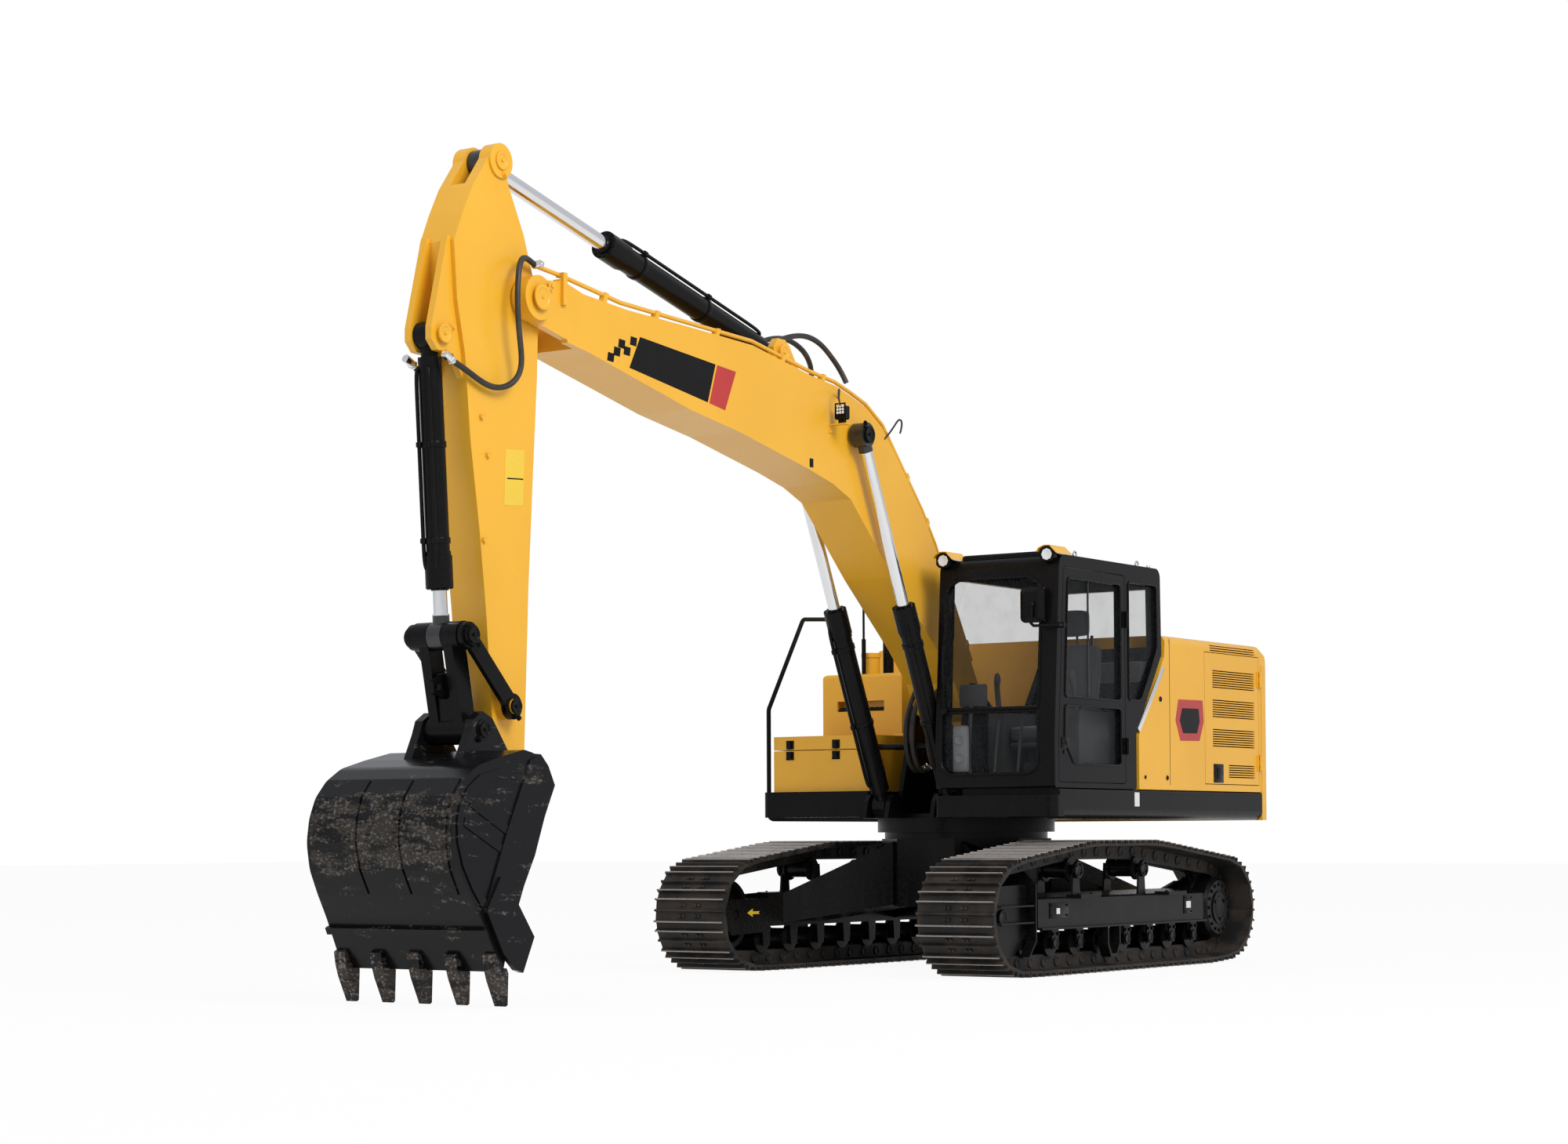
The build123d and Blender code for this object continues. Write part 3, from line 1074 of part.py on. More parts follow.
def cab_console():
    y = (CAB_INNER_Y + CAB_OUTER_Y) / 2
    pods = []
    for side in (-1, 1):
        a, b = sorted((y + side * PODS[0], y + side * PODS[1]))
        pods.append(box((-40, a, CAB_FLOOR + 50), (520, b, CAB_FLOOR + 560)))
        middle = (a + b) / 2
        stick = bar((460, middle, CAB_FLOOR + 540), (500, middle, CAB_FLOOR + 800), 20)
        pods[-1] += stick
    return Compound(children=[Solid(p.solids()[0].wrapped) for p in pods])


# --- house ----------------------------------------------------------------------------------------
HOOD_TOP = 2465.0
HOOD_FRONT = -640.0
DOOR_SEAM = -1298.0
TANK_FRONT = -56.0
TANK_REAR = -890.0
TANK_TOP = 2230.0
TANK_INNER_Y = -592.0
SIDE_SKIN = HALF_WIDTH - 5
PANEL_CLEAR = 6.0
SIDE_DOOR = (DOOR_SEAM, HOUSE_REAR + 40, DECK_TOP + 50, HOOD_TOP - 90)   # x1, x0, z0, z1
LID = (DOOR_SEAM, HOUSE_REAR + 40, 700.0)                                 # x1, x0, half width


def hood_outer():
    left = plate([(-200, DECK_TOP), (-200, 1705), (-618, 2300), (HOOD_FRONT, HOOD_TOP),
                  (HOUSE_REAR, HOOD_TOP), (HOUSE_REAR, DECK_TOP)], CAB_INNER_Y, SIDE_SKIN)
    middle = box((HOUSE_REAR, -590, DECK_TOP), (HOOD_FRONT, CAB_INNER_Y + 1, HOOD_TOP))
    right = box((HOUSE_REAR, -SIDE_SKIN, DECK_TOP), (TANK_REAR - 10, -589, HOOD_TOP))
    return left + middle + right


def hood_door_hinges():
    _, x0, z0, z1 = SIDE_DOOR
    x = x0 + PANEL_CLEAR / 2
    return [hinge(upright(x, SIDE_SKIN, z)) for z in (z0 + 120, z1 - 120 - HINGE_LENGTH)]


def hood_lid_hinges():
    x1, _, half = LID
    x = x1 - PANEL_CLEAR / 2
    y = half - 200
    return [hinge(lying(x, side * y - HINGE_LENGTH / 2, HOOD_TOP, -1)) for side in (-1, 1)]


def engine_hood():
    """The fixed panels round the engine, open under the lid and the two side doors."""
    x1, x0, z0, z1 = SIDE_DOOR
    lid_x1, lid_x0, lid_half = LID
    hood = hood_outer()
    hood = fillet(hood.edges().filter_by(Axis.X).group_by(Axis.Z)[-1], 70)
    w = HOOD_WALL
    hood -= box((HOUSE_REAR + w, -SIDE_SKIN + w, DECK_TOP - 1),
                (TANK_REAR - 10 - w, SIDE_SKIN - w, HOOD_TOP - w))
    hood -= box((TANK_REAR - 60, -590 + w, DECK_TOP - 1), (HOOD_FRONT - w, CAB_INNER_Y, HOOD_TOP - w))
    hood -= plate([(-240, DECK_TOP - 1), (-240, 1690), (-655, 2285), (-740, HOOD_TOP - w),
                   (TANK_REAR - 60, HOOD_TOP - w), (TANK_REAR - 60, DECK_TOP - 1)],
                  CAB_INNER_Y + w, SIDE_SKIN - w)
    hood -= box((HOOD_FRONT - w - 1, -CENTRE_HALF, DECK_TOP - 1), (HOOD_FRONT + 1, CAB_INNER_Y - 20, 1600))
    hood -= box((x0, SIDE_SKIN - w - 1, z0), (x1, SIDE_SKIN + 1, z1))
    hood -= box((x0, -SIDE_SKIN - 1, z0), (x1, -SIDE_SKIN + w + 1, z1))
    hood -= box((lid_x0, -lid_half, HOOD_TOP - w - 1), (lid_x1, lid_half, HOOD_TOP + 1))
    for cut in slots(HOOD_LOUVRES):
        hood -= both(cut)
    for fixed, _ in hood_door_hinges():
        hood += both(fixed)
    for fixed, _ in hood_lid_hinges():
        hood += fixed
    return hood


LOUVRE_HEIGHT = 9.0
LOUVRE_PITCH = 18.0
# groups of slots: rear end, front end, lowest slot's foot, highest slot's foot
DOOR_LOUVRES = [(-2190, -1440, 2104, 2230), (-2190, -1440, 1878, 2004),
                (-2190, -1440, 1652, 1778), (-2190, -1720, 1416, 1506)]
HOOD_LOUVRES = [(-2200, -1400, 2384, 2420)]


def slots(groups):
    """Cutters for the louvres of one side."""
    cuts = []
    for x0, x1, first, last in groups:
        for i in range(1 + round((last - first) / LOUVRE_PITCH)):
            low = first + i * LOUVRE_PITCH
            cuts.append(box((x0, SIDE_SKIN - HOOD_WALL - 1, low),
                            (x1, SIDE_SKIN + 1, low + LOUVRE_HEIGHT)))
    return cuts


def hood_door():
    x1, x0, z0, z1 = SIDE_DOOR
    g = PANEL_CLEAR
    door = box((x0 + g, SIDE_SKIN - HOOD_WALL, z0 + g), (x1 - g, SIDE_SKIN, z1 - g))
    door -= slots(DOOR_LOUVRES)
    for _, moving in hood_door_hinges():
        door += moving
    return door


def hood_lid():
    lid_x1, lid_x0, lid_half = LID
    g = PANEL_CLEAR
    lid = box((lid_x0 + g, -lid_half + g, HOOD_TOP - HOOD_WALL),
              (lid_x1 - g, lid_half - g, HOOD_TOP))
    for _, moving in hood_lid_hinges():
        lid += moving
    return lid


def engine_block():
    return box((-2120, -CENTRE_HALF, ENGINE_BED), (-1420, CENTRE_HALF, 2150))


# the tail's profile behind the hood, (x, z), and its top corner seen from behind, (y, z)
TAIL_DEPTH = HOUSE_REAR - TAIL_RADIUS_X
TAIL_PROFILE = [(TAIL_RADIUS_X + share * TAIL_DEPTH, z) for share, z in [
    (0.14, BEAM_BOTTOM), (0.0, BEAM_BOTTOM + 90), (0.0, HOOD_TOP - 335), (0.13, HOOD_TOP - 175),
    (0.39, HOOD_TOP - 65), (0.73, HOOD_TOP - 12)]]
TAIL_RADII = [1] + [share * TAIL_DEPTH for share in (0.11, 0.14, 0.34, 0.2, 0.27, 0.34)] + [1]
TAIL_CORNER = [(HALF_WIDTH, HOOD_TOP - 160), (HALF_WIDTH - 30, HOOD_TOP - 75),
               (HALF_WIDTH - 85, HOOD_TOP - 25), (HALF_WIDTH - 170, HOOD_TOP)]


def counterweight():
    """The cast tail: bowed in plan, rounded over its top, its rear and its corners."""
    w = HALF_WIDTH
    edge = HOUSE_REAR - SEAT
    z = BEAM_BOTTOM
    curves = []
    for side in (1, -1):
        curves.append(Line((edge, side * w, z), (TAIL_SIDE + 70, side * w, z)))
        curves.append(ThreePointArc((TAIL_SIDE + 70, side * w, z), (TAIL_SIDE + 8, side * (w - 24), z),
                                    (TAIL_SIDE - 22, side * (w - 72), z)))
    curves.append(ThreePointArc((TAIL_SIDE - 22, w - 72, z), (TAIL_RADIUS_X, 0, z),
                                (TAIL_SIDE - 22, 72 - w, z)))
    curves.append(Line((edge, -w, z), (edge, w, z)))
    block = extrude(make_face(Curve() + curves), amount=HOOD_TOP - z, dir=(0, 0, 1))
    profile = plate([(edge, z)] + TAIL_PROFILE + [(edge, HOOD_TOP - 5)], -w, w, TAIL_RADII)
    corner = TAIL_CORNER + [(-y, top) for y, top in TAIL_CORNER[::-1]]
    face = outline([(TAIL_RADIUS_X, y, top) for y, top in [(-w, z), (w, z)] + corner])
    return block & profile & extrude(face, amount=edge - TAIL_RADIUS_X, dir=(1, 0, 0))


TANK_STEP = (-1178.0, -752.0, 1940.0, 2020.0)     # the recess for a foot: its sides and heights
TANK_STEP_DEPTH = 95.0
FILLER = (-196.0, -955.0)


def fuel_tank():
    """A block with rounded edges, a recess to step in, and the filler's neck and cap."""
    tank = box((TANK_REAR, -HALF_WIDTH + 45, DECK_TOP), (TANK_FRONT, TANK_INNER_Y, TANK_TOP))
    tank = fillet(tank.faces().sort_by(Axis.Z)[-1].edges(), 32)
    y0, y1, z0, z1 = TANK_STEP
    tank -= box((TANK_FRONT - TANK_STEP_DEPTH, y0, z0), (TANK_FRONT + 1, y1, z1))
    x, y = FILLER
    tank += bar((x, y, TANK_TOP - 5), (x, y, TANK_TOP + 140), 68)
    return tank + bar((x, y, TANK_TOP + 130), (x, y, TANK_TOP + 165), 76)


TOOLBOX = ((-26.0, -HALF_WIDTH + 55, DECK_TOP), (650.0, -437.0, 1730.0))
TOOLBOX_SEAM = 1625.0
TOOLBOX_WALL = 12.0


TOOLBOX_HINGE_BACK = 12.0     # of the hinge's axis behind the lid


def toolbox_hinges():
    (x0, y0, _), (_, y1, z1) = TOOLBOX
    x = x0 - TOOLBOX_HINGE_BACK
    starts = (y0 + 100, y1 - 100 - HINGE_LENGTH)
    return [(y, hinge(lying(x, y + HINGE_LENGTH, z1, 1), TOOLBOX_HINGE_BACK)) for y in starts]


def toolbox():
    (x0, y0, z0), (x1, y1, z1) = TOOLBOX
    w = TOOLBOX_WALL
    outer = box((x0, y0, z0), (x1, y1, TOOLBOX_SEAM - 3))
    body = outer - box((x0 + w, y0 + w, z0 + w), (x1 - w, y1 - w, TOOLBOX_SEAM))
    back = x0 - TOOLBOX_HINGE_BACK
    third = HINGE_LENGTH / 3
    for y, (fixed, _) in toolbox_hinges():
        body += fixed + box((back - 12, y, TOOLBOX_SEAM - 90), (x0, y + HINGE_LENGTH, TOOLBOX_SEAM - 40))
        for a in (y, y + 2 * third):
            body += box((back - 12, a, TOOLBOX_SEAM - 90), (back - 2, a + third, z1 + HINGE_LEAF))
    return body


def toolbox_lid():
    (x0, y0, z0), (x1, y1, z1) = TOOLBOX
    w = TOOLBOX_WALL
    outer = box((x0, y0, TOOLBOX_SEAM + 3), (x1, y1, z1))
    lid = outer - box((x0 + w, y0 + w, TOOLBOX_SEAM), (x1 - w, y1 - w, z1 - w))
    for _, (_, moving) in toolbox_hinges():
        lid += moving
    return lid


RAIL_TUBE = 17.0
RAIL_Y = -HALF_WIDTH + RAIL_TUBE


# posts on the tank's top: x, y, height, radius
TANK_POSTS = [(-92.0, -956.0, 270.0, 17.0), (-92.0, -956.0, 560.0, 9.0), (-330.0, -880.0, 290.0, 42.0)]


def handrail():
    """The rail round the steps, with the posts beside it."""
    path = FilletPolyline((663, RAIL_Y, DECK_TOP), (663, RAIL_Y, 1940), (179, RAIL_Y, 2655),
                          (-270, RAIL_Y, 2681), (-420, RAIL_Y, 2500), (-420, RAIL_Y, TANK_TOP + 0.3),
                          radius=60)
    start = Plane(origin=path @ 0, z_dir=path % 0)
    posts = [bar((x, y, TANK_TOP + SEAT), (x, y, TANK_TOP + height), radius)
             for x, y, height, radius in TANK_POSTS]
    return Compound(children=[sweep(start * Circle(RAIL_TUBE), path=path), posts[0] + posts[1], posts[2]])


def main():
    os.makedirs("parts", exist_ok=True)
    sided = {
        "track_chain": track_chain(),
        "track_frame": track_frame(),
        "track_rollers": track_rollers(),
        "carrier_rollers": carrier_rollers(),
        "idler": idler(),
        "sprocket": sprocket(),
    }
    for name, shape in sided.items():
        save(f"{name}_left", shape)
        save(f"{name}_right", other_side(shape))
    save("carbody", carbody())
    save("bearing_lower", bearing_lower())
    save("bearing_upper", bearing_upper())
    save("turntable", turntable())
    save("deck_left", deck_left())
    save("deck_right", deck_right())
    save("boom", boom())
    save("boom_pipes", boom_pipes())
    save("boom_lamp", boom_lamp())
    save("arm", arm())
    for side, y in (("left", 1), ("right", -1)):
        barrel, rod = BOOM_RAM.barrel(), BOOM_RAM.rod()
        save(f"boom_barrel_{side}", barrel if y > 0 else other_side(barrel))
        save(f"boom_rod_{side}", rod if y > 0 else other_side(rod))
    save("arm_barrel", ARM_RAM.barrel())
    save("arm_rod", ARM_RAM.rod())
    save("bucket_barrel", BUCKET_RAM.barrel())
    save("bucket_rod", BUCKET_RAM.rod())
    save("idler_links", idler_links())
    save("bucket_link", bucket_link())
    save("bucket", bucket())
    save("bucket_teeth", bucket_teeth())
    save("cab_frame", cab_frame())
    save("cab_glass", cab_glass())
    save("cab_door", cab_door())
    save("door_glass", door_glass())
    save("cab_lamps", cab_lamps())
    save("lamp_hoods", lamp_hoods())
    save("cab_mirror", cab_mirror())
    save("operator_seat", operator_seat())
    save("cab_console", cab_console())
    save("engine_hood", engine_hood())
    save("hood_door_left", hood_door())
    save("hood_door_right", other_side(hood_door()))
    save("hood_lid", hood_lid())
    save("engine_block", engine_block())
    save("counterweight", counterweight())
    save("fuel_tank", fuel_tank())
    save("toolbox", toolbox())
    save("toolbox_lid", toolbox_lid())
    save("handrail", handrail())


main()
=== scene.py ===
"""Crawler excavator: finishes, fittings, floor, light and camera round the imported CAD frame."""

import logging
from dataclasses import dataclass
from enum import Enum
from math import atan2, cos, hypot, pi, radians, sin, sqrt
from typing import Any, Callable, Iterable, Sequence

import bpy
from mathutils import Matrix, Vector


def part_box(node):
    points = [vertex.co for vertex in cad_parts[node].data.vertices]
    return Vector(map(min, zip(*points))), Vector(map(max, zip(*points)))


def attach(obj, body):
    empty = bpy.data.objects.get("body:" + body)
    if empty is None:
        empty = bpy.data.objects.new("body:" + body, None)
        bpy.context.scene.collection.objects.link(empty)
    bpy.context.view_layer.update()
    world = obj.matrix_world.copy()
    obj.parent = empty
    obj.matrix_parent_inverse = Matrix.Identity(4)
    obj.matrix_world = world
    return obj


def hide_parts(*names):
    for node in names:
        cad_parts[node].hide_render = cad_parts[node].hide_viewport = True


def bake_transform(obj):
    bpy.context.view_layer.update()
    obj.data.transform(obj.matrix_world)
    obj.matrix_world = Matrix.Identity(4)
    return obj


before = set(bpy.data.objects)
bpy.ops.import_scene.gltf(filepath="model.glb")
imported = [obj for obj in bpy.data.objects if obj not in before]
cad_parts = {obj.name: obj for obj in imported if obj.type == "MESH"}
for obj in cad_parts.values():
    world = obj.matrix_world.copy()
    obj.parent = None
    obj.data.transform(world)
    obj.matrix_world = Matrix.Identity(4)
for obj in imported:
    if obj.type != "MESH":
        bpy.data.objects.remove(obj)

LOG = logging.getLogger("excavator")
MM = 0.001                      # the pieces' sizes are in millimetres, Blender's in metres
SMOOTH = radians(34)            # largest angle between faces that is shaded smooth
SHARP = radians(32)             # smallest angle between faces whose edge is rounded
Point = tuple[float, float, float]
Flat = tuple[float, float]
Colour = tuple[float, float, float]


# --- shader expressions -------------------------------------------------------------------------
def operator(operation: str, swapped: bool = False) -> Callable[..., "Wire"]:
    """Makes one of Wire's operators.

    Args:
        operation: the Math node's operation.
        swapped: whether the wire is the second value.

    Returns:
        The method.
    """
    def method(self: "Wire", other: Any = 0.0) -> "Wire":
        """Adds one Math node.

        Args:
            other: the second value, if the operation takes one.

        Returns:
            The result.
        """
        left, right = (other, self) if swapped else (self, other)
        return self.shader.node("Math", {"operation": operation}, {0: left, 1: right})
    return method


class Wire:
    """One shader socket that can be used in Python expressions."""

    __add__, __radd__ = operator("ADD"), operator("ADD", True)
    __sub__, __rsub__ = operator("SUBTRACT"), operator("SUBTRACT", True)
    __mul__, __rmul__ = operator("MULTIPLY"), operator("MULTIPLY", True)
    __pow__, __abs__ = operator("POWER"), operator("ABSOLUTE")
    __gt__, __lt__ = operator("GREATER_THAN"), operator("LESS_THAN")
    most, least = operator("MAXIMUM"), operator("MINIMUM")
    sine = operator("SINE")

    def __init__(self, shader: "Shader", socket: bpy.types.NodeSocket) -> None:
        """Keeps the socket and the shader that owns it."""
        self.shader = shader
        self.socket = socket

    def span(self, low: float, high: float, start: float = 0.0, end: float = 1.0) -> "Wire":
        """Maps low..high to start..end, smoothly and clamped.

        Args:
            low: value that gives start.
            high: value that gives end.
            start: result at and below low.
            end: result at and above high.

        Returns:
            The mapped value.
        """
        return self.shader.node(
            "MapRange", {"interpolation_type": "SMOOTHSTEP", "clamp": True},
            {"Value": self, "From Min": low, "From Max": high, "To Min": start, "To Max": end})


class Shader:
    """A material under construction."""

    octave: float = 0.55        # a finer octave's strength against the one before

    def __init__(self, name: str) -> None:
        """Starts an empty node material.

        Args:
            name: the material's name.
        """
        self.material = bpy.data.materials.new(name)
        self.material.use_nodes = True
        self.tree = self.material.node_tree
        self.tree.nodes.clear()
        self.place = self.node("TexCoord", out="Object")

    def node(self, kind: str, settings: dict[str, Any] | None = None,
             sockets: dict[Any, Any] | None = None, out: str | int = 0) -> Wire:
        """Adds any node.

        Args:
            kind: the node's type, without the ShaderNode that all begin with.
            settings: its own properties, set first.
            sockets: values or wires by input name or number.
            out: which output to hand back.

        Returns:
            The chosen output.
        """
        node = self.tree.nodes.new("ShaderNode" + kind)
        for key, value in (settings or {}).items():
            setattr(node, key, value)
        for key, value in (sockets or {}).items():
            if isinstance(value, Wire):
                self.tree.links.new(value.socket, node.inputs[key])
            else:
                node.inputs[key].default_value = value
        return Wire(self, node.outputs[out])

    def axis(self, letter: str) -> Wire:
        """One coordinate, in metres."""
        return self.node("SeparateXYZ", sockets={0: self.place}, out=letter)

    def distance(self, point: Point) -> Wire:
        """How far from a point, in metres."""
        return self.node("VectorMath", {"operation": "DISTANCE"},
                         {0: self.place, 1: point}, out="Value")

    def noise(self, scale: float, detail: float = 3.0,
              stretch: Point = (1.0, 1.0, 1.0)) -> Wire:
        """Soft random value.

        Args:
            scale: features per metre.
            detail: octaves.
            stretch: scale of each axis.

        Returns:
            About 0..1, mostly near a half.
        """
        place = self.place
        if stretch != (1.0, 1.0, 1.0):
            place = self.node("Mapping", sockets={"Vector": place, "Scale": stretch})
        return self.node("TexNoise", sockets={
            "Vector": place, "Scale": scale, "Detail": detail, "Roughness": self.octave})

    def mix(self, factor: Any, first: Any, second: Any) -> Wire:
        """Blends two colours.

        Args:
            factor: 0 gives the first, 1 the second.
            first: colour or wire.
            second: colour or wire.

        Returns:
            The blended colour.
        """
        def full(colour: Any) -> Any:
            """A colour with its alpha."""
            return colour if isinstance(colour, Wire) else (*colour, 1.0)
        return self.node("Mix", {"data_type": "RGBA"},
                         {0: factor, 6: full(first), 7: full(second)}, out=2)

    def bump(self, height: Wire, depth: float, strength: float = 1.0) -> Wire:
        """A relief of a given depth in metres."""
        return self.node("Bump", None,
                         {"Height": height, "Distance": depth, "Strength": strength})

    def finish(self, **sockets: Any) -> bpy.types.Material:
        """Closes the material with one Principled surface.

        Args:
            **sockets: the surface's inputs, underscores standing for spaces.

        Returns:
            The material.
        """
        named = {}
        for key, value in sockets.items():
            if key in ("Base_Color", "Emission_Color") and not isinstance(value, Wire):
                value = (*value, 1.0)
            named[key.replace("_", " ")] = value
        surface = self.node("BsdfPrincipled", None, named)
        self.node_out(surface)
        return self.material

    def node_out(self, surface: Wire) -> None:
        """Links a surface to the output."""
        output = self.tree.nodes.new("ShaderNodeOutputMaterial")
        self.tree.links.new(surface.socket, output.inputs["Surface"])


# --- finishes -----------------------------------------------------------------------------------
@dataclass(frozen=True)
class Enamel:
    """Sprayed machine enamel with a film of dust and small chips."""

    name: str
    colour: Colour
    shade: Colour
    dust: Colour = (0.30, 0.235, 0.16)
    primer: Colour = (0.05, 0.035, 0.028)
    dusty: float = 0.16
    gloss: float = 0.30
    chips: float = 0.5
    shine: float = 0.5
    coat: float = 0.12

    def build(self) -> bpy.types.Material:
        """Makes the material.

        Returns:
            The enamel.
        """
        s = Shader(self.name)
        broad = s.noise(1.3, 3.0)
        fine = s.noise(38.0, 4.0)
        runs = s.noise(9.0, 4.0, (1.0, 1.0, 0.16))
        low = s.axis("Z").span(0.15, 1.7, 1.0, 0.18)
        film = (runs * fine).span(0.16, 0.42) * low * self.dusty
        paint = s.mix(broad.span(0.32, 0.68), self.colour, self.shade)
        specks = s.noise(95.0, 2.0).span(0.735, 0.765) * self.chips
        colour = s.mix(film, s.mix(specks, paint, self.primer), self.dust)
        rough = self.gloss + film * 0.8 + fine.span(0.3, 0.7) * 0.07
        relief = s.bump(s.noise(420.0, 1.0), 0.00012, 0.35)
        return s.finish(Base_Color=colour, Roughness=rough, Normal=relief,
                        Coat_Weight=self.coat, Coat_Roughness=0.18,
                        Specular_IOR_Level=self.shine)


@dataclass(frozen=True)
class TrackSteel:
    """Rolled track steel: dark scale, earth in random patches, bright where the ground rubs."""

    name: str = "track_steel"
    colour: Colour = (0.016, 0.015, 0.0145)
    earth: Colour = (0.085, 0.064, 0.048)
    bright: Colour = (0.60, 0.56, 0.52)
    lower_run: float = 0.088
    ends: tuple[Point, ...] = ((1.675, 0.412, 0.318), (-1.675, 0.416, 0.306))
    upper_run: tuple[Point, ...] = ((1.675, 0.730, -0.115), (0.598, 0.853, 0.0),
                                    (-1.675, 0.722, 0.105))

    def build(self) -> bpy.types.Material:
        """Makes the material.

        Returns:
            The steel.
        """
        s = Shader(self.name)
        patch = s.noise(5.0, 5.0).span(0.38, 0.68)
        grain = s.noise(60.0, 4.0)
        colour = s.mix(patch * 0.45, self.colour, self.earth)
        worn = self.height(s).span(0.079, 0.087) * grain.span(0.2, 0.5, 0.45, 1.0)
        colour = s.mix(worn, colour, self.bright)
        rough = 0.55 - worn * 0.22 + patch * 0.2
        relief = s.bump(grain, 0.0008, 0.5)
        return s.finish(Base_Color=colour, Roughness=rough, Metallic=0.2 + worn * 0.7,
                        Normal=relief, Specular_IOR_Level=0.3)

    def height(self, s: Shader) -> Wire:
        """How far a point stands outside the line of the chain's pins.

        Args:
            s: the material that asks.

        Returns:
            The distance in metres.
        """
        x, z = s.axis("X"), s.axis("Z")
        ends = []
        for cx, cz, radius in self.ends:
            dx, dz = x - cx, z - cz
            ends.append((dx * dx + dz * dz) ** 0.5 - radius)
        middle = self.lower_run - z
        for px, pz, slope in self.upper_run:
            size = sqrt(1 + slope * slope)
            middle = middle.most((z - pz - (x - px) * slope) * (1 / size))
        front, rear = x > self.ends[0][0], x < self.ends[1][0]
        return middle * (1 - front) * (1 - rear) + ends[0] * front + ends[1] * rear


@dataclass(frozen=True)
class DugSteel:
    """Black paint rubbed by soil to rust and bare steel, most of all in a band of heights."""

    name: str
    paint: Colour = (0.0045, 0.0045, 0.005)
    rust: Colour = (0.075, 0.062, 0.050)
    bare: Colour = (0.22, 0.21, 0.20)
    worn: float = 0.5
    band: tuple[float, float, float, float] = (0.70, 0.88, 1.12, 1.30)
    half: float = 0.55          # of the band's width

    def build(self) -> bpy.types.Material:
        """Makes the material.

        Returns:
            The rubbed steel.
        """
        s = Shader(self.name)
        up = s.axis("Z")
        scrape = s.noise(7.0, 6.0, (0.35, 0.6, 2.4))
        fine = s.noise(48.0, 5.0, (0.6, 1.0, 1.4))
        scuffed = (up.span(self.band[0], self.band[1])
                   * up.span(self.band[2], self.band[3], 1.0, 0.0)
                   * abs(s.axis("Y")).span(self.half - 0.03, self.half, 1.0, 0.0))
        rub = (scrape * 0.85 + fine * 0.30 + scuffed * 0.17).span(0.66, 0.78) * self.worn
        metal = fine.span(0.52, 0.64) * rub
        colour = s.mix(metal, s.mix(rub, self.paint, self.rust), self.bare)
        rough = 0.24 + rub * 0.4 - metal * 0.15
        relief = s.bump(fine + scrape, 0.0012, 0.4)
        return s.finish(Base_Color=colour, Roughness=rough, Metallic=metal, Normal=relief,
                        Specular_IOR_Level=0.17)


@dataclass(frozen=True)
class Chrome:
    """Ground hard chrome with a thin film of oil; a rod's eye and neck are painted black."""

    name: str
    eyes: tuple[Point, ...] = ()
    reach: float = 0.131
    metal: Colour = (0.78, 0.78, 0.79)
    paint: Colour = (0.012, 0.012, 0.012)

    def build(self) -> bpy.types.Material:
        """Makes the material.

        Returns:
            The chrome.
        """
        s = Shader(self.name)
        film = s.noise(16.0, 4.0, (0.4, 1.0, 0.4)).span(0.35, 0.7) * 0.12
        if not self.eyes:
            return s.finish(Base_Color=self.metal, Metallic=1.0, Roughness=0.10 + film)
        near = s.distance(self.eyes[0])
        for eye in self.eyes[1:]:
            near = near.least(s.distance(eye))
        black = near < self.reach
        return s.finish(Base_Color=s.mix(black, self.metal, self.paint), Metallic=1 - black,
                        Roughness=0.10 + film + black * 0.2, Coat_Weight=black * 0.3)


@dataclass(frozen=True)
class Glass:
    """Tinted safety glass with a little dust."""

    name: str = "cab_glass"
    tint: Colour = (0.010, 0.014, 0.015)
    dust: Colour = (0.4, 0.36, 0.3)
    opacity: float = 0.13

    def build(self) -> bpy.types.Material:
        """Makes the material.

        Returns:
            The glass.
        """
        s = Shader(self.name)
        dust = s.noise(6.0, 5.0).span(0.45, 0.75)
        return s.finish(Base_Color=s.mix(dust * 0.03, self.tint, self.dust),
                        Roughness=0.01 + dust * 0.02, Alpha=self.opacity + dust * 0.03,
                        Specular_IOR_Level=0.5)


@dataclass(frozen=True)
class Moulded:
    """Grained plastic or rubber."""

    name: str
    colour: Colour
    rough: float = 0.55
    grain: float = 260.0
    depth: float = 0.0003
    dusty: float = 0.12
    dust: Colour = (0.26, 0.21, 0.15)

    def build(self) -> bpy.types.Material:
        """Makes the material.

        Returns:
            The moulding's material.
        """
        s = Shader(self.name)
        skin = s.noise(self.grain, 2.0)
        dust = s.noise(7.0, 5.0).span(0.42, 0.72) * self.dusty
        return s.finish(Base_Color=s.mix(dust, self.colour, self.dust),
                        Roughness=self.rough + dust, Normal=s.bump(skin, self.depth, 0.5))


@dataclass(frozen=True)
class Woven:
    """Seat cloth, woven from two near greys."""

    name: str = "seat_cloth"
    warp: Colour = (0.030, 0.031, 0.034)
    weft: Colour = (0.062, 0.063, 0.068)
    threads: float = 2200.0

    def build(self) -> bpy.types.Material:
        """Makes the material.

        Returns:
            The cloth.
        """
        s = Shader(self.name)
        across = (s.axis("Y") * self.threads).sine()
        along = ((s.axis("X") + s.axis("Z")) * self.threads).sine()
        weave = (across * along) * 0.5 + 0.5
        return s.finish(Base_Color=s.mix(weave, self.warp, self.weft), Roughness=0.92,
                        Normal=s.bump(weave, 0.0004, 0.5), Sheen_Weight=0.25)


@dataclass(frozen=True)
class Lens:
    """Clear fluted lamp cover over a bright bowl."""

    name: str
    colour: Colour
    rough: float = 0.12
    flutes: float = 900.0

    def build(self) -> bpy.types.Material:
        """Makes the material.

        Returns:
            The lens.
        """
        s = Shader(self.name)
        flutes = (s.axis("Y") * self.flutes).sine()
        return s.finish(Base_Color=self.colour, Roughness=self.rough, Coat_Weight=0.6,
                        Normal=s.bump(flutes * 0.5 + 0.5, 0.0006, 0.4))


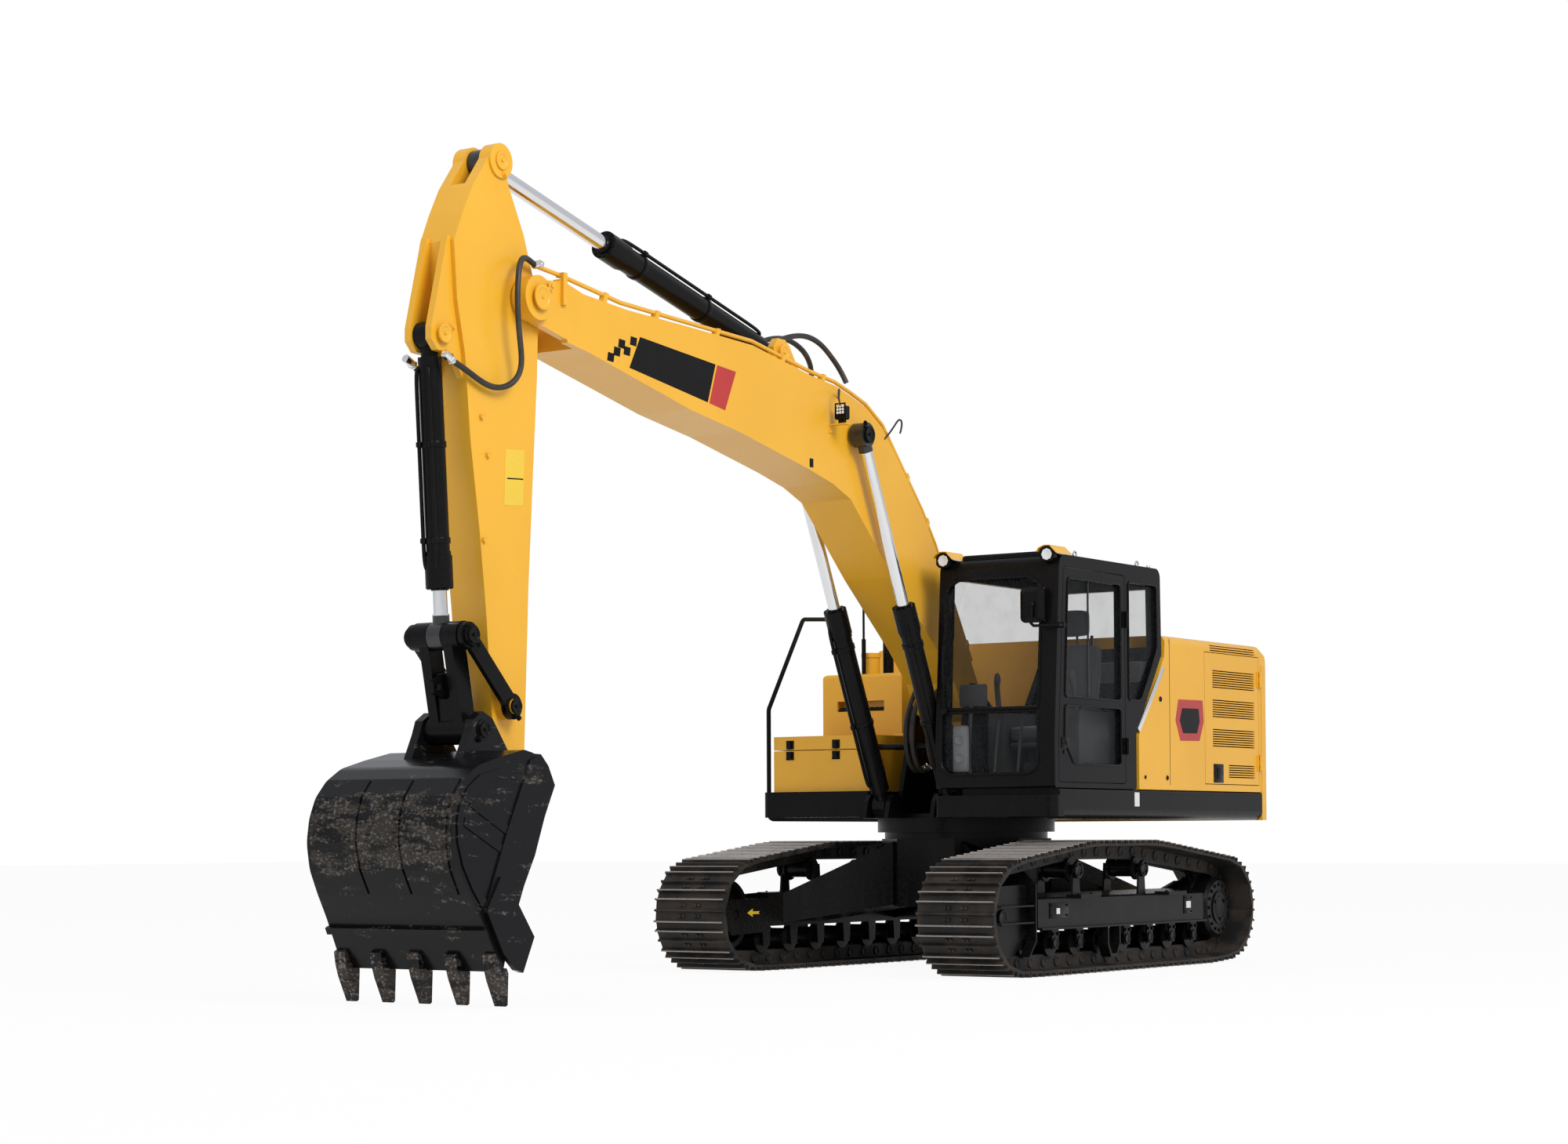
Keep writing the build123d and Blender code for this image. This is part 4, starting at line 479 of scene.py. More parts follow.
class Finish(Enum):
    """The machine's finishes, by name."""

    YELLOW = Enamel("yellow_enamel", (0.80, 0.410, 0.022), (0.76, 0.385, 0.019),
                    dusty=0.04, coat=0.06)
    BLACK = Enamel("black_enamel", (0.0035, 0.0035, 0.0040), (0.0055, 0.0052, 0.0052),
                   dusty=0.02, gloss=0.24, chips=0.0, shine=0.11, coat=0.0)
    TRACK = TrackSteel()
    BUCKET = DugSteel("bucket_steel", rust=(0.060, 0.049, 0.037), worn=0.5)
    TEETH = DugSteel("tooth_steel", rust=(0.060, 0.046, 0.036), worn=0.8,
                     band=(-2.0, -1.0, 0.3, 0.7), half=2.0)
    GLASS = Glass()
    RUBBER = Moulded("hose_rubber", (0.014, 0.014, 0.015), 0.5, 300.0, 0.0002)
    PLASTIC = Moulded("cab_plastic", (0.035, 0.035, 0.038), 0.6)
    SEAT = Woven()
    LENS = Lens("clear_lens", (0.72, 0.74, 0.76))
    SILVER = Chrome("plated_ferrule")
    BOOM_RODS = Chrome("boom_rod_chrome", ((1.899, 0.29, 3.770), (1.899, -0.29, 3.770)))
    ARM_RODS = Chrome("arm_rod_chrome", ((5.698, 0.0, 5.015),))
    BUCKET_RODS = Chrome("bucket_rod_chrome", ((6.082, 0.0, 2.155),))
    RED = Enamel("red_enamel", (0.48, 0.02, 0.016), (0.40, 0.018, 0.014), dusty=0.05)
    WHITE = Enamel("white_enamel", (0.72, 0.72, 0.70), (0.66, 0.66, 0.64), dusty=0.08)
    LABEL = Enamel("label_yellow", (0.78, 0.52, 0.035), (0.74, 0.49, 0.03),
                   dusty=0.05, gloss=0.22)
    GREY = Moulded("grey_plastic", (0.20, 0.205, 0.21), 0.5)

    def slot(self) -> str:
        """The record's material slot that this finish belongs to."""
        return SLOTS.get(self.name, "black_paint")

    def material(self) -> bpy.types.Material:
        """The finish's material.

        Returns:
            The material, made on first use.
        """
        name = self.value.name + "_finish"
        made = bpy.data.materials.get(name)
        if made is None:
            made = self.value.build()
            made.name = name
        return made


# finishes whose slot isn't black_paint
SLOTS = {"YELLOW": "yellow_paint", "TRACK": "track_steel", "BUCKET": "worn_steel",
         "TEETH": "worn_steel", "SILVER": "chrome_rod", "GLASS": "cab_glass",
         "LENS": "cab_glass", "SEAT": "seat_cloth", "PLASTIC": "cab_plastic",
         "GREY": "cab_plastic", "RUBBER": "cab_plastic"}

# CAD nodes by finish, without _left and _right; every other node is black enamel
DRESS: dict[Finish, tuple[str, ...]] = {
    Finish.TRACK: ("track_chain",),
    Finish.YELLOW: ("boom", "arm", "engine_hood", "hood_door", "hood_lid", "counterweight",
                    "fuel_tank", "toolbox", "toolbox_lid", "boom_pipes", "lamp_hoods"),
    Finish.BUCKET: ("bucket",),
    Finish.TEETH: ("bucket_teeth",),
    Finish.BOOM_RODS: ("boom_rod",),
    Finish.ARM_RODS: ("arm_rod",),
    Finish.BUCKET_RODS: ("bucket_rod",),
    Finish.GLASS: ("cab_glass", "door_glass"),
    Finish.SEAT: ("operator_seat",),
    Finish.PLASTIC: ("cab_console",),
}


def dress_nodes() -> None:
    """Gives every CAD node its finish."""
    finishes = {stem: finish for finish, stems in DRESS.items() for stem in stems}
    for name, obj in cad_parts.items():
        stem = name.removesuffix("_left").removesuffix("_right")
        finish = finishes.get(stem, Finish.BLACK)
        obj.data.materials.clear()
        obj.data.materials.append(finish.material())
        LOG.info("node %s: %s", name, finish.name)


# --- the bench: modelling in millimetres ---------------------------------------------------------
def clear() -> None:
    """Leaves edit mode with nothing selected."""
    if bpy.context.mode != "OBJECT":
        bpy.ops.object.mode_set(mode="OBJECT")
    bpy.ops.object.select_all(action="DESELECT")


def take(*objects: bpy.types.Object) -> None:
    """Selects just these.

    Args:
        *objects: the objects, the first of which becomes active.
    """
    clear()
    for obj in objects:
        obj.select_set(True)
    bpy.context.view_layer.objects.active = objects[0]


def added(name: str, data: bpy.types.ID) -> bpy.types.Object:
    """Puts a new object into the scene.

    Args:
        name: its name.
        data: its mesh, curve, light or camera.

    Returns:
        The object.
    """
    obj = bpy.data.objects.new(name, data)
    bpy.context.scene.collection.objects.link(obj)
    return obj


def edit_all(obj: bpy.types.Object, *steps: Callable[[], Any]) -> None:
    """Runs edit mode steps on the whole of a mesh.

    Args:
        obj: the mesh object.
        *steps: the operators, called in order.
    """
    take(obj)
    bpy.ops.object.mode_set(mode="EDIT")
    bpy.ops.mesh.select_all(action="SELECT")
    for step in steps:
        step()
    bpy.ops.object.mode_set(mode="OBJECT")


def meshed(line: bpy.types.Curve, points: Sequence[tuple[float, ...]], kind: str, weld: float,
           place: Matrix | None = None) -> bpy.types.Object:
    """Runs a curve through points and turns it into a closed mesh.

    Args:
        line: the curve with its section.
        points: where it runs, millimetres.
        kind: the spline's type.
        weld: distance below which vertices are merged, metres.
        place: where the mesh goes.

    Returns:
        The mesh object.
    """
    clear()
    run = line.splines.new(kind)
    run.points.add(len(points) - 1)
    for spot, values in zip(run.points, points):
        spot.co = (*(value * MM for value in (*values, 0.0)[:3]), 1.0)
    if line.dimensions == "2D":
        run.use_cyclic_u = True
    elif kind == "NURBS":
        run.order_u, run.use_endpoint_u = min(4, len(points)), True
    take(added("run", line))
    bpy.ops.object.convert(target="MESH")
    obj = bpy.context.object
    if place:
        obj.data.transform(place)
    edit_all(obj, lambda: bpy.ops.mesh.remove_doubles(threshold=weld),
             lambda: bpy.ops.mesh.normals_make_consistent(inside=False))
    return obj


def settle(obj: bpy.types.Object) -> bpy.types.Object:
    """Puts an object's place, turn and scale into its mesh.

    Args:
        obj: the mesh object.

    Returns:
        The same object.
    """
    take(obj)
    bpy.ops.object.transform_apply(location=True, rotation=True, scale=True)
    return obj


def rounded(obj: bpy.types.Object, width: float) -> bpy.types.Object:
    """Rounds an object's sharp edges.

    Args:
        obj: the mesh object.
        width: width of the rounding, millimetres.

    Returns:
        The same object.
    """
    if width > 0:
        edge = obj.modifiers.new("edge", "BEVEL")
        edge.width, edge.segments = width * MM, 2
        edge.limit_method, edge.angle_limit = "ANGLE", SHARP
        take(obj)
        bpy.ops.object.modifier_apply(modifier="edge")
    return obj


def block(low: Point, high: Point, soft: float = 3.0) -> bpy.types.Object:
    """A block with rounded edges.

    Args:
        low: its lowest corner.
        high: its highest corner.
        soft: width of its edges' rounding.

    Returns:
        The block.
    """
    clear()
    middle = [(a + b) / 2 * MM for a, b in zip(low, high)]
    size = [(b - a) * MM for a, b in zip(low, high)]
    bpy.ops.mesh.primitive_cube_add(size=1.0, location=middle, scale=size)
    return rounded(settle(bpy.context.object), soft)


def disc(start: Point, end: Point, radius: float, sides: int = 24, soft: float = 2.0,
         dish: float = 0.0) -> bpy.types.Object:
    """A round bar or cap between two points.

    Args:
        start: middle of its first end.
        end: middle of its last end.
        radius: its radius.
        sides: faces round it.
        soft: rounding of its rims.
        dish: depth of a hollow in its last end.

    Returns:
        The bar.
    """
    clear()
    a, b = Vector(start) * MM, Vector(end) * MM
    turn = (b - a).to_track_quat("Z", "Y").to_euler()
    bpy.ops.mesh.primitive_cylinder_add(vertices=sides, radius=radius * MM, depth=(b - a).length,
                                        location=(a + b) / 2, rotation=turn)
    obj = bpy.context.object
    if dish:
        bpy.ops.object.mode_set(mode="EDIT")
        bpy.ops.mesh.select_all(action="DESELECT")
        bpy.ops.object.mode_set(mode="OBJECT")
        for face in obj.data.polygons:
            face.select = face.normal.z > 0.9
        bpy.ops.object.mode_set(mode="EDIT")
        bpy.ops.mesh.inset(thickness=radius * MM * 0.28)
        bpy.ops.mesh.inset(thickness=radius * MM * 0.04, depth=-dish * MM)
        bpy.ops.object.mode_set(mode="OBJECT")
    return rounded(settle(obj), soft)


def cut_plate(points: Sequence[Flat], low: float, high: float,
              soft: float = 2.0) -> bpy.types.Object:
    """A plate that faces sideways, cut to an outline.

    Args:
        points: the outline, each (x, z).
        low: the y where its thickness starts.
        high: the y where it ends.
        soft: rounding of its edges.

    Returns:
        The plate.
    """
    line = bpy.data.curves.new("plate", "CURVE")
    line.dimensions, line.fill_mode = "2D", "BOTH"
    line.extrude = (high - low) / 2 * MM
    upright = Matrix(((1, 0, 0, 0), (0, 0, -1, (low + high) / 2 * MM), (0, 1, 0, 0), (0, 0, 0, 1)))
    return rounded(meshed(line, points, "POLY", 0.00005, upright), soft)


def tube(points: Sequence[Point], radius: float, smooth: bool = True) -> bpy.types.Object:
    """A hose or a bent pipe with closed ends.

    Args:
        points: where it runs.
        radius: its radius.
        smooth: whether it bends evenly rather than at its points.

    Returns:
        The tube.
    """
    line = bpy.data.curves.new("run", "CURVE")
    line.dimensions, line.bevel_depth = "3D", radius * MM
    line.bevel_resolution, line.resolution_u, line.use_fill_caps = 3, 8, True
    return meshed(line, points, "NURBS" if smooth else "POLY", 0.00001)


def copies(pattern: bpy.types.Object, places: Iterable[tuple[Point, Point, float]]
           ) -> list[bpy.types.Object]:
    """Copies a small part that was made at the origin, standing along Z.

    Args:
        pattern: the part, which is used up.
        places: the foot, the direction and the scale of each copy.

    Returns:
        The copies.
    """
    made = []
    for foot, way, scale in places:
        mesh = pattern.data.copy()
        turn = Vector(way).to_track_quat("Z", "Y").to_matrix().to_4x4()
        mesh.transform(Matrix.Translation(Vector(foot) * MM) @ turn @ Matrix.Scale(scale, 4))
        made.append(added(pattern.name, mesh))
    bpy.data.objects.remove(pattern)
    return made


def bolt() -> bpy.types.Object:
    """A hexagonal bolt head on its washer.

    Returns:
        The bolt at the origin; its hexagon's corners lie 1 mm from the middle.
    """
    washer = disc((0, 0, 0), (0, 0, 0.25), 1.25, 12, 0.0)
    head = disc((0, 0, 0.2), (0, 0, 0.95), 1.0, 6, 0.12)
    take(washer, head)
    bpy.ops.object.join()
    return washer


def other_side(obj: bpy.types.Object) -> bpy.types.Object:
    """Mirrors an object to the machine's other side.

    Args:
        obj: the mesh object.

    Returns:
        The mirrored copy.
    """
    twin = added(obj.name, obj.data.copy())
    twin.data.transform(Matrix.Scale(-1, 4, (0, 1, 0)))
    twin.data.flip_normals()
    return twin


def piece(name: str, parts: Sequence[bpy.types.Object], finish: Finish, body: str,
          both: bool = False, bend: tuple[str, Point, Point] | None = None) -> bpy.types.Object:
    """Joins parts into one finished piece.

    Args:
        name: its name.
        parts: the objects that it is made of.
        finish: its finish.
        body: the CAD body that it rides on.
        both: whether the same stands on the machine's other side.
        bend: the body on a joint's other side, and where a bend would start and end; only whether
            it is given counts: then the piece stays in place, not attached to body.

    Returns:
        The piece.
    """
    parts = list(parts)
    if both:
        parts += [other_side(part) for part in parts]
    take(*parts)
    if len(parts) > 1:
        bpy.ops.object.join()
    obj = bpy.context.object
    obj.name = obj.data.name = name
    obj.data.materials.clear()
    obj.data.materials.append(finish.material())
    bpy.ops.object.shade_smooth_by_angle(angle=SMOOTH)
    if bend:
        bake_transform(obj)
    else:
        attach(obj, body)
    LOG.info("piece %s: %d faces on %s", name, len(obj.data.polygons), body)
    return obj


# --- running gear --------------------------------------------------------------------------------
@dataclass
class RunningGear:
    """What is bolted to the tracks: shoe bolts, pin ends, roller caps and hub bolts."""

    gauge: float = 2200.0
    sprocket: Flat = (-1675.0, 416.0)
    idler: Flat = (1675.0, 412.0)
    roller_z: float = 218.0
    roller_span: float = 2560.0
    rollers: int = 8
    carriers: tuple[Flat, ...] = ((598.0, 731.0), (-422.0, 731.0))
    pitch: float = 190.0
    shoe_top: float = 62.0
    pitch_radii: tuple[float, float, float, float] = (306.0, 130.0, 318.0, 122.0)
    frame_half: float = 150.0
    frame_side: float = 200.0
    # the drive's bolts: how many, their circle, how far out they sit, their size
    hub: tuple[int, float, float, float] = (16, 176.0, 176.0, 12.0)
    rim: tuple[int, float, float, float] = (30, 241.0, 32.0, 6.5)
    shoe_bolt: float = 13.0
    bolt_shares: Flat = (0.285, 0.715)      # of the way from one chain pin to the next
    bolt_ys: tuple[float, ...] = (-82.0, -50.0, 50.0, 82.0)
    link_face: float = 85.0
    # radius of each cap and how far it stands out from the frame
    roller_cap: Flat = (40.0, 7.0)
    carrier_cap: Flat = (62.0, 26.0)
    idler_cap: Flat = (58.0, 14.0)
    drive_cover: Flat = (128.0, 186.0)

    def wheels(self) -> list[tuple[float, float, float]]:
        """The wheels that the chain runs round.

        Returns:
            Each wheel's (x, z, radius of the pins' line).
        """
        sprocket, roller, idler, carrier = self.pitch_radii
        half = self.roller_span / 2
        return [(*self.sprocket, sprocket), (-half, self.roller_z, roller),
                (half, self.roller_z, roller), (*self.idler, idler),
                (*self.carriers[0], carrier), (*self.carriers[1], carrier)]

    def chain_pins(self) -> list[Flat]:
        """The chain's pins, evenly spaced along its belt.

        Returns:
            Each pin's (x, z).
        """
        wheels = self.wheels()
        count = len(wheels)
        angles = []
        for i, (x0, z0, r0) in enumerate(wheels):
            x1, z1, r1 = wheels[(i + 1) % count]
            gap = hypot(x1 - x0, z1 - z0)
            angles.append(atan2(z1 - z0, x1 - x0) - pi / 2
                          + atan2(r0 - r1, sqrt(gap ** 2 - (r0 - r1) ** 2)))
        runs: list[tuple[float, Callable[[float], Flat]]] = []
        for i, (x0, z0, r0) in enumerate(wheels):
            turn = (angles[i] - angles[i - 1]) % (2 * pi)
            turn = turn if turn < 1.9 * pi else 0.0
            runs.append((r0 * turn, lambda s, a=angles[i - 1], x=x0, z=z0, r=r0:
                         (x + r * cos(a + s / r), z + r * sin(a + s / r))))
            x1, z1, r1 = wheels[(i + 1) % count]
            out = Vector((cos(angles[i]), sin(angles[i])))
            a, b = Vector((x0, z0)) + out * r0, Vector((x1, z1)) + out * r1
            far = (b - a).length
            runs.append((far, lambda s, a=a, b=b, far=far: tuple(a + (b - a) * (s / far))))
        total = sum(length for length, _ in runs)
        links = round(total / self.pitch)
        pins: list[Flat] = []
        start = 0.0
        for length, place in runs:
            while len(pins) < links and len(pins) * total / links < start + length:
                pins.append(place(len(pins) * total / links - start))
            start += length
        return pins

    def shoes(self) -> None:
        """Bolts every shoe to its two links, and ends every chain pin in a boss."""
        middle = self.gauge / 2
        pins = self.chain_pins()
        bolts, bosses = [], []
        for i, (x0, z0) in enumerate(pins):
            x1, z1 = pins[(i + 1) % len(pins)]
            gap = hypot(x1 - x0, z1 - z0)
            ux, uz = (x1 - x0) / gap, (z1 - z0) / gap
            for share in self.bolt_shares:
                for y in self.bolt_ys:
                    bolts.append(((x0 + share * gap * ux + self.shoe_top * uz, middle + y,
                                   z0 + share * gap * uz - self.shoe_top * ux),
                                  (uz, 0, -ux), self.shoe_bolt))
            for sign in (-1, 1):
                bosses.append(((x0, middle + sign * self.link_face, z0), (0, sign, 0), 1.0))
        boss = disc((0, 0, 0), (0, 0, 9), 36, 16, 2.0, 4.0)
        piece("shoe_bolts", copies(bolt(), bolts), Finish.TRACK, "undercarriage", both=True)
        piece("chain_pin_ends", copies(boss, bosses), Finish.TRACK, "undercarriage", both=True)

    def wheel_caps(self) -> None:
        """Caps the rollers' and the idlers' shafts outside the frame, with their bolts."""
        face = self.gauge / 2 + self.frame_half
        step = self.roller_span / (self.rollers - 1)
        caps, bolts = [], []
        z, (radius, out) = self.roller_z, self.roller_cap
        for i in range(self.rollers):
            x = -self.roller_span / 2 + i * step
            caps.append(disc((x, face - 1, z), (x, face + out, z), radius, 20, 2.0, 3.0))
            bolts += [((x + dx, face, z + 66), (0, 1, 0), 11.0) for dx in (-34, 34)]
        radius, out = self.carrier_cap
        for x, z in self.carriers:
            caps.append(disc((x, face - 1, z), (x, face + out, z), radius, 28, 4.0, 6.0))
            bolts += [((x + 44 * cos(a), face + 24, z + 44 * sin(a)), (0, 1, 0), 8.0)
                      for a in (0.6, 2.2, 3.7, 5.3)]
        (x, z), (radius, out) = self.idler, self.idler_cap
        caps.append(disc((x, face - 2, z), (x, face + out, z), radius, 28, 3.0, 5.0))
        bolts += [((x + 92, face, z + dz), (0, 1, 0), 12.0) for dz in (-60, 60)]
        piece("roller_caps", caps, Finish.BLACK, "undercarriage", both=True)
        piece("roller_bolts", copies(bolt(), bolts), Finish.BLACK, "undercarriage", both=True)

    def drives(self) -> None:
        """Bolts the final drives' covers and the sprockets' rims."""
        (x, z), (radius, out) = self.sprocket, self.drive_cover
        middle = self.gauge / 2
        places = []
        for count, circle, face, size in (self.hub, self.rim):
            for a in (2 * pi * i / count for i in range(count)):
                places.append(((x + circle * cos(a), middle + face, z + circle * sin(a)),
                               (0, 1, 0), size))
        out += middle
        parts = [disc((x, out - 12, z), (x, out, z), radius, 36, 4.0, 6.0)]
        for a in (0.5, 2.6, 4.7):
            px, pz = x + 92 * cos(a), z + 92 * sin(a)
            parts.append(disc((px, out - 6, pz), (px, out + 8, pz), 15, 6, 1.5))
        piece("drive_covers", parts, Finish.BLACK, "undercarriage", both=True)
        piece("drive_bolts", copies(bolt(), places), Finish.BLACK, "undercarriage", both=True)

    def frame_fittings(self) -> None:
        """Adds the cover plates, their bolts and the steps' bolts to the track frames."""
        side = self.gauge / 2 + self.frame_side
        parts = [block((820, side - 3, 395), (1090, side + 7, 505), 3),
                 cut_plate([(-1150, 380), (-1150, 520), (-1010, 520), (-1010, 380)],
                           side - 3, side + 5, 2)]
        bolts = [((x, side + 6, z), (0, 1, 0), 8.0) for x in (842, 1068) for z in (414, 486)]
        bolts += [((x + dx, side + 30, 557), (0, 0, 1), 9.0)
                  for x in (-760, 620) for dx in (-95, 95)]
        bolts += [((x, side + 4, z), (0, 1, 0), 7.0) for x in (-1132, -1028) for z in (398, 502)]
        piece("frame_covers", parts, Finish.BLACK, "undercarriage", both=True)
        piece("frame_bolts", copies(bolt(), bolts), Finish.BLACK, "undercarriage", both=True)

    def build(self) -> None:
        """Makes all of it."""
        self.shoes()
        self.wheel_caps()
        self.drives()
        self.frame_fittings()


# --- working equipment ---------------------------------------------------------------------------
@dataclass
class Line:
    """A line between two pins, for places along it in the plane y."""

    start: Flat
    end: Flat

    def at(self, along: float, height: float, y: float) -> Point:
        """A place on or beside the line.

        Args:
            along: millimetres from the start.
            height: millimetres to the left of the line's direction.
            y: how far to the machine's left.

        Returns:
            The place.
        """
        dx, dz = self.end[0] - self.start[0], self.end[1] - self.start[1]
        far = hypot(dx, dz)
        ux, uz = dx / far, dz / far
        return (self.start[0] + along * ux - height * uz, y,
                self.start[1] + along * uz + height * ux)


@dataclass
class PinEnds:
    """The plates and bolts that keep a pin, outside both of its ears."""

    name: str
    body: str
    centre: Flat
    face: float
    radius: float
    flag: float
    finish: Finish

    def build(self) -> None:
        """Makes the caps on both sides."""
        (x, z), y = self.centre, self.face
        cap = disc((x, y - 2, z), (x, y + 12, z), self.radius, 32, 3.0, 5.0)
        reach = self.radius * 1.5
        fx, fz = x + reach * cos(self.flag), z + reach * sin(self.flag)
        keeper = disc((fx, y - 2, fz), (fx, y + 7, fz), self.radius * 0.36, 20, 2.0)
        arm = block((x, y - 2, z - 13), (x + reach, y + 5, z + 13), 2.0)
        pin = Matrix.Translation(Vector((x, 0, z)) * MM)
        arm.data.transform(pin @ Matrix.Rotation(-self.flag, 4, "Y") @ pin.inverted())
        head = copies(bolt(), [((fx, y + 6, fz), (0, 1, 0), 12.0),
                               ((x, y + 5, z), (0, 1, 0), 10.0)])
        piece(self.name, [cap, keeper, arm, *head], self.finish, self.body, both=True)


@dataclass
class RamFittings:
    """A hydraulic cylinder's gland bolts, wiper ring, ports, tubes and clamps."""

    name: str
    body: str
    foot: Flat
    head: Flat
    y: float
    radius: float
    barrel: float
    tubes: tuple[Flat, ...]
    rod: float
    bolts: int = 12
    bands: Flat = (0.42, 0.80)          # the clamps' places, as shares of the barrel
    tube_ends: Flat = (190.0, 100.0)    # from the foot's pin, from the barrel's end

    def build(self) -> None:
        """Makes the fittings round the barrel."""
        line, y = Line(self.foot, self.head), self.y
        start = Vector(line.at(0, 0, 0))
        way = (Vector(line.at(100, 0, 0)) - start).normalized()
        side, out = Vector(line.at(0, 1, 0)) - start, Vector((0, 1, 0))
        places = []
        for a in (2 * pi * (i + 0.5) / self.bolts for i in range(self.bolts)):
            spot = Vector(line.at(self.barrel - 1, 0, y))
            spot += (side * cos(a) + out * sin(a)) * (self.radius + 1)
            places.append((tuple(spot), tuple(way), 7.0))
        parts = copies(bolt(), places)
        parts.append(disc(line.at(self.barrel - 2, 0, y), line.at(self.barrel + 14, 0, y),
                          self.rod + 12, 32, 4.0))
        clamps = [self.barrel * share for share in self.bands]
        parts += [disc(line.at(along, 0, y), line.at(along + 36, 0, y), self.radius + 7, 32, 2.0)
                  for along in clamps]
        near, far = self.tube_ends[0], self.barrel - self.tube_ends[1]
        for height, dy in self.tubes:
            run = [line.at(along, height * share, y + dy * share) for along, share in (
                (far, 0.55), (far, 1.0), (far - 60, 1.0), (near + 60, 1.0), (near, 1.0),
                (near, 0.7))]
            parts.append(tube(run, 12.0))
            parts += [disc(line.at(along + 3, height, y + dy), line.at(along + 33, height, y + dy),
                           19, 16, 2.0) for along in clamps]
            parts.append(disc(line.at(far, height * 0.45, y + dy * 0.45),
                              line.at(far, height * 0.9, y + dy * 0.9), 24, 16, 2.0))
        piece(self.name, parts, Finish.BLACK, self.body)


@dataclass
class BoomFittings:
    """Hoses to the arm and its cylinder, blank stripes and signs, and the lamp's face."""

    half: float = 205.0
    arm_half: float = 132.0
    film: float = 1.5
    lamp_at: Point = (2196.0, 300.0, 3916.0)

    def hoses(self) -> None:
        """Runs the hoses from the boom's pipes over the joints."""
        for sign, side in ((1, "left"), (-1, "right")):
            run = [(x, y * sign, z) for x, y, z in (
                (1880, 150, 4150), (1900, 120, 4235), (1982, 90, 4330), (2110, 90, 4400),
                (2260, 90, 4432), (2420, 90, 4420), (2550, 90, 4385), (2640, 72, 4352))]
            piece(f"arm_ram_hose_{side}", [tube(run, 19.0)], Finish.RUBBER, "boom",
                  bend=("arm_barrel", (2.05, 0, 4.37), (2.56, 0, 4.38)))
            loop = [(x, y * sign, z) for x, y, z in (
                (5430, 185, 4424), (5520, 190, 4462), (5612, 222, 4440), (5672, 250, 4330),
                (5690, 256, 4160), (5664, 250, 3960), (5600, 232, 3780), (5660, 205, 3672),
                (5790, 180, 3628), (5930, 172, 3655), (6060, 168, 3715), (6180, 150, 3762))]
            piece(f"arm_hose_{side}", [tube(loop, 18.0)], Finish.RUBBER, "boom",
                  bend=("arm", (5.47, 0, 4.45), (5.62, 0, 3.75)))
        for x, z, far, y, body, name in ((5385, 4437, (5440, 4424), 185, "boom", "loop_ferrules"),
                                         (6170, 3760, (6235, 3790), 149, "arm", "arm_ferrules")):
            parts = [disc((x, y, z), (far[0], y, far[1]), 25, 16, 3.0),
                     disc((x - 14, y, z - 4), (x + 6, y, z), 30, 6, 2.0)]
            piece(name, parts, Finish.SILVER, body, both=True)
        wires = [tube([(2190, 300, 3935), (2230, 300, 4010), (2190, 290, 4080), (2110, 240, 4060),
                       (2060, 200, 4000)], 6.0),
                 tube([(1466, 203, 3794), (1400, 216, 3850), (1330, 222, 3930), (1270, 219, 3968),
                       (1230, 216, 3930), (1250, 203, 3860)], 7.0)]
        piece("boom_wires", wires, Finish.RUBBER, "boom")

    def foot_hoses(self) -> None:
        """Hangs the four big hoses between the deck's crossbar and the boom's foot."""
        rail = [disc((560, -615, 1638), (560, 28, 1638), 22, 20, 3.0),
                disc((560, -612, 1638), (560, -612, 1320), 18, 16, 3.0)]
        ferrules = []
        for i, y in enumerate((-150.0, -95.0, 40.0, 95.0)):
            run = [(330, y, 1500), (430, y, 1440), (545, y, 1470), (610, y, 1600), (625, y, 1760),
                   (585, y, 1900), (520, y, 1990), (470, y, 2050)]
            piece(f"foot_hose_{i + 1}", [tube(run, 19.0)], Finish.RUBBER, "upper",
                  bend=("boom", (0.60, 0, 1.62), (0.50, 0, 2.02)))
            ferrules.append(disc((330, y, 1500), (375, y, 1472), 26, 16, 3.0))
            if y < 28:
                rail.append(block((534, y - 30, 1612), (590, y + 30, 1664), 6))
        piece("foot_crossbar", rail, Finish.BLACK, "upper")
        piece("foot_ferrules", ferrules, Finish.SILVER, "upper")

    def signs(self) -> None:
        """Lays the stripe and the blank labels on the paint."""
        y = self.half
        top = y + self.film
        band = [cut_plate([(4389, 4128), (3560, 4060), (3650, 3801), (4504, 3919)], y, top, 0)]
        for x, z in ((4452, 4090), (4576, 4058), (4625, 4003), (4520, 4020), (4690, 3960)):
            band.append(cut_plate([(x + 36, z + 30), (x - 30, z + 26), (x - 20, z - 28),
                                   (x + 46, z - 24)], y, top, 0))
        piece("boom_stripe", band, Finish.BLACK, "boom", both=True)
        end = cut_plate([(3540, 4058), (3325, 4041), (3452, 3772), (3632, 3798)], y, top, 0)
        piece("boom_stripe_end", [end], Finish.RED, "boom", both=True)
        y = self.arm_half
        label = cut_plate([(5650, 3293), (5468, 3304), (5484, 2968), (5664, 2955)], y,
                          y + self.film, 0)
        piece("arm_label", [label], Finish.LABEL, "arm", both=True)
        line = cut_plate([(5636, 3122), (5482, 3131), (5482.5, 3123), (5636.5, 3114)], y + 1,
                         y + 2, 0)
        piece("arm_label_line", [line], Finish.BLACK, "arm", both=True)

    def lamp(self) -> None:
        """Gives the boom's lamp its nine small lenses and its frame."""
        x, y, z = self.lamp_at
        bars = [block((x - 2, y + y0, z + z0), (x + 4, y + y1, z + z1), 1.5)
                for y0, z0, y1, z1 in ((-42, -44, 42, -34), (-42, 34, 42, 44),
                                       (-44, -44, -34, 44), (34, -44, 44, 44))]
        piece("boom_lamp_rim", bars, Finish.BLACK, "boom")
        lenses = [disc((x - 1, y + dy, z + dz), (x + 2, y + dy, z + dz), 10, 16, 0.8, 0.5)
                  for dy in (-22, 0, 22) for dz in (-22, 0, 22)]
        piece("boom_lamp_lenses", lenses, Finish.LENS, "boom")

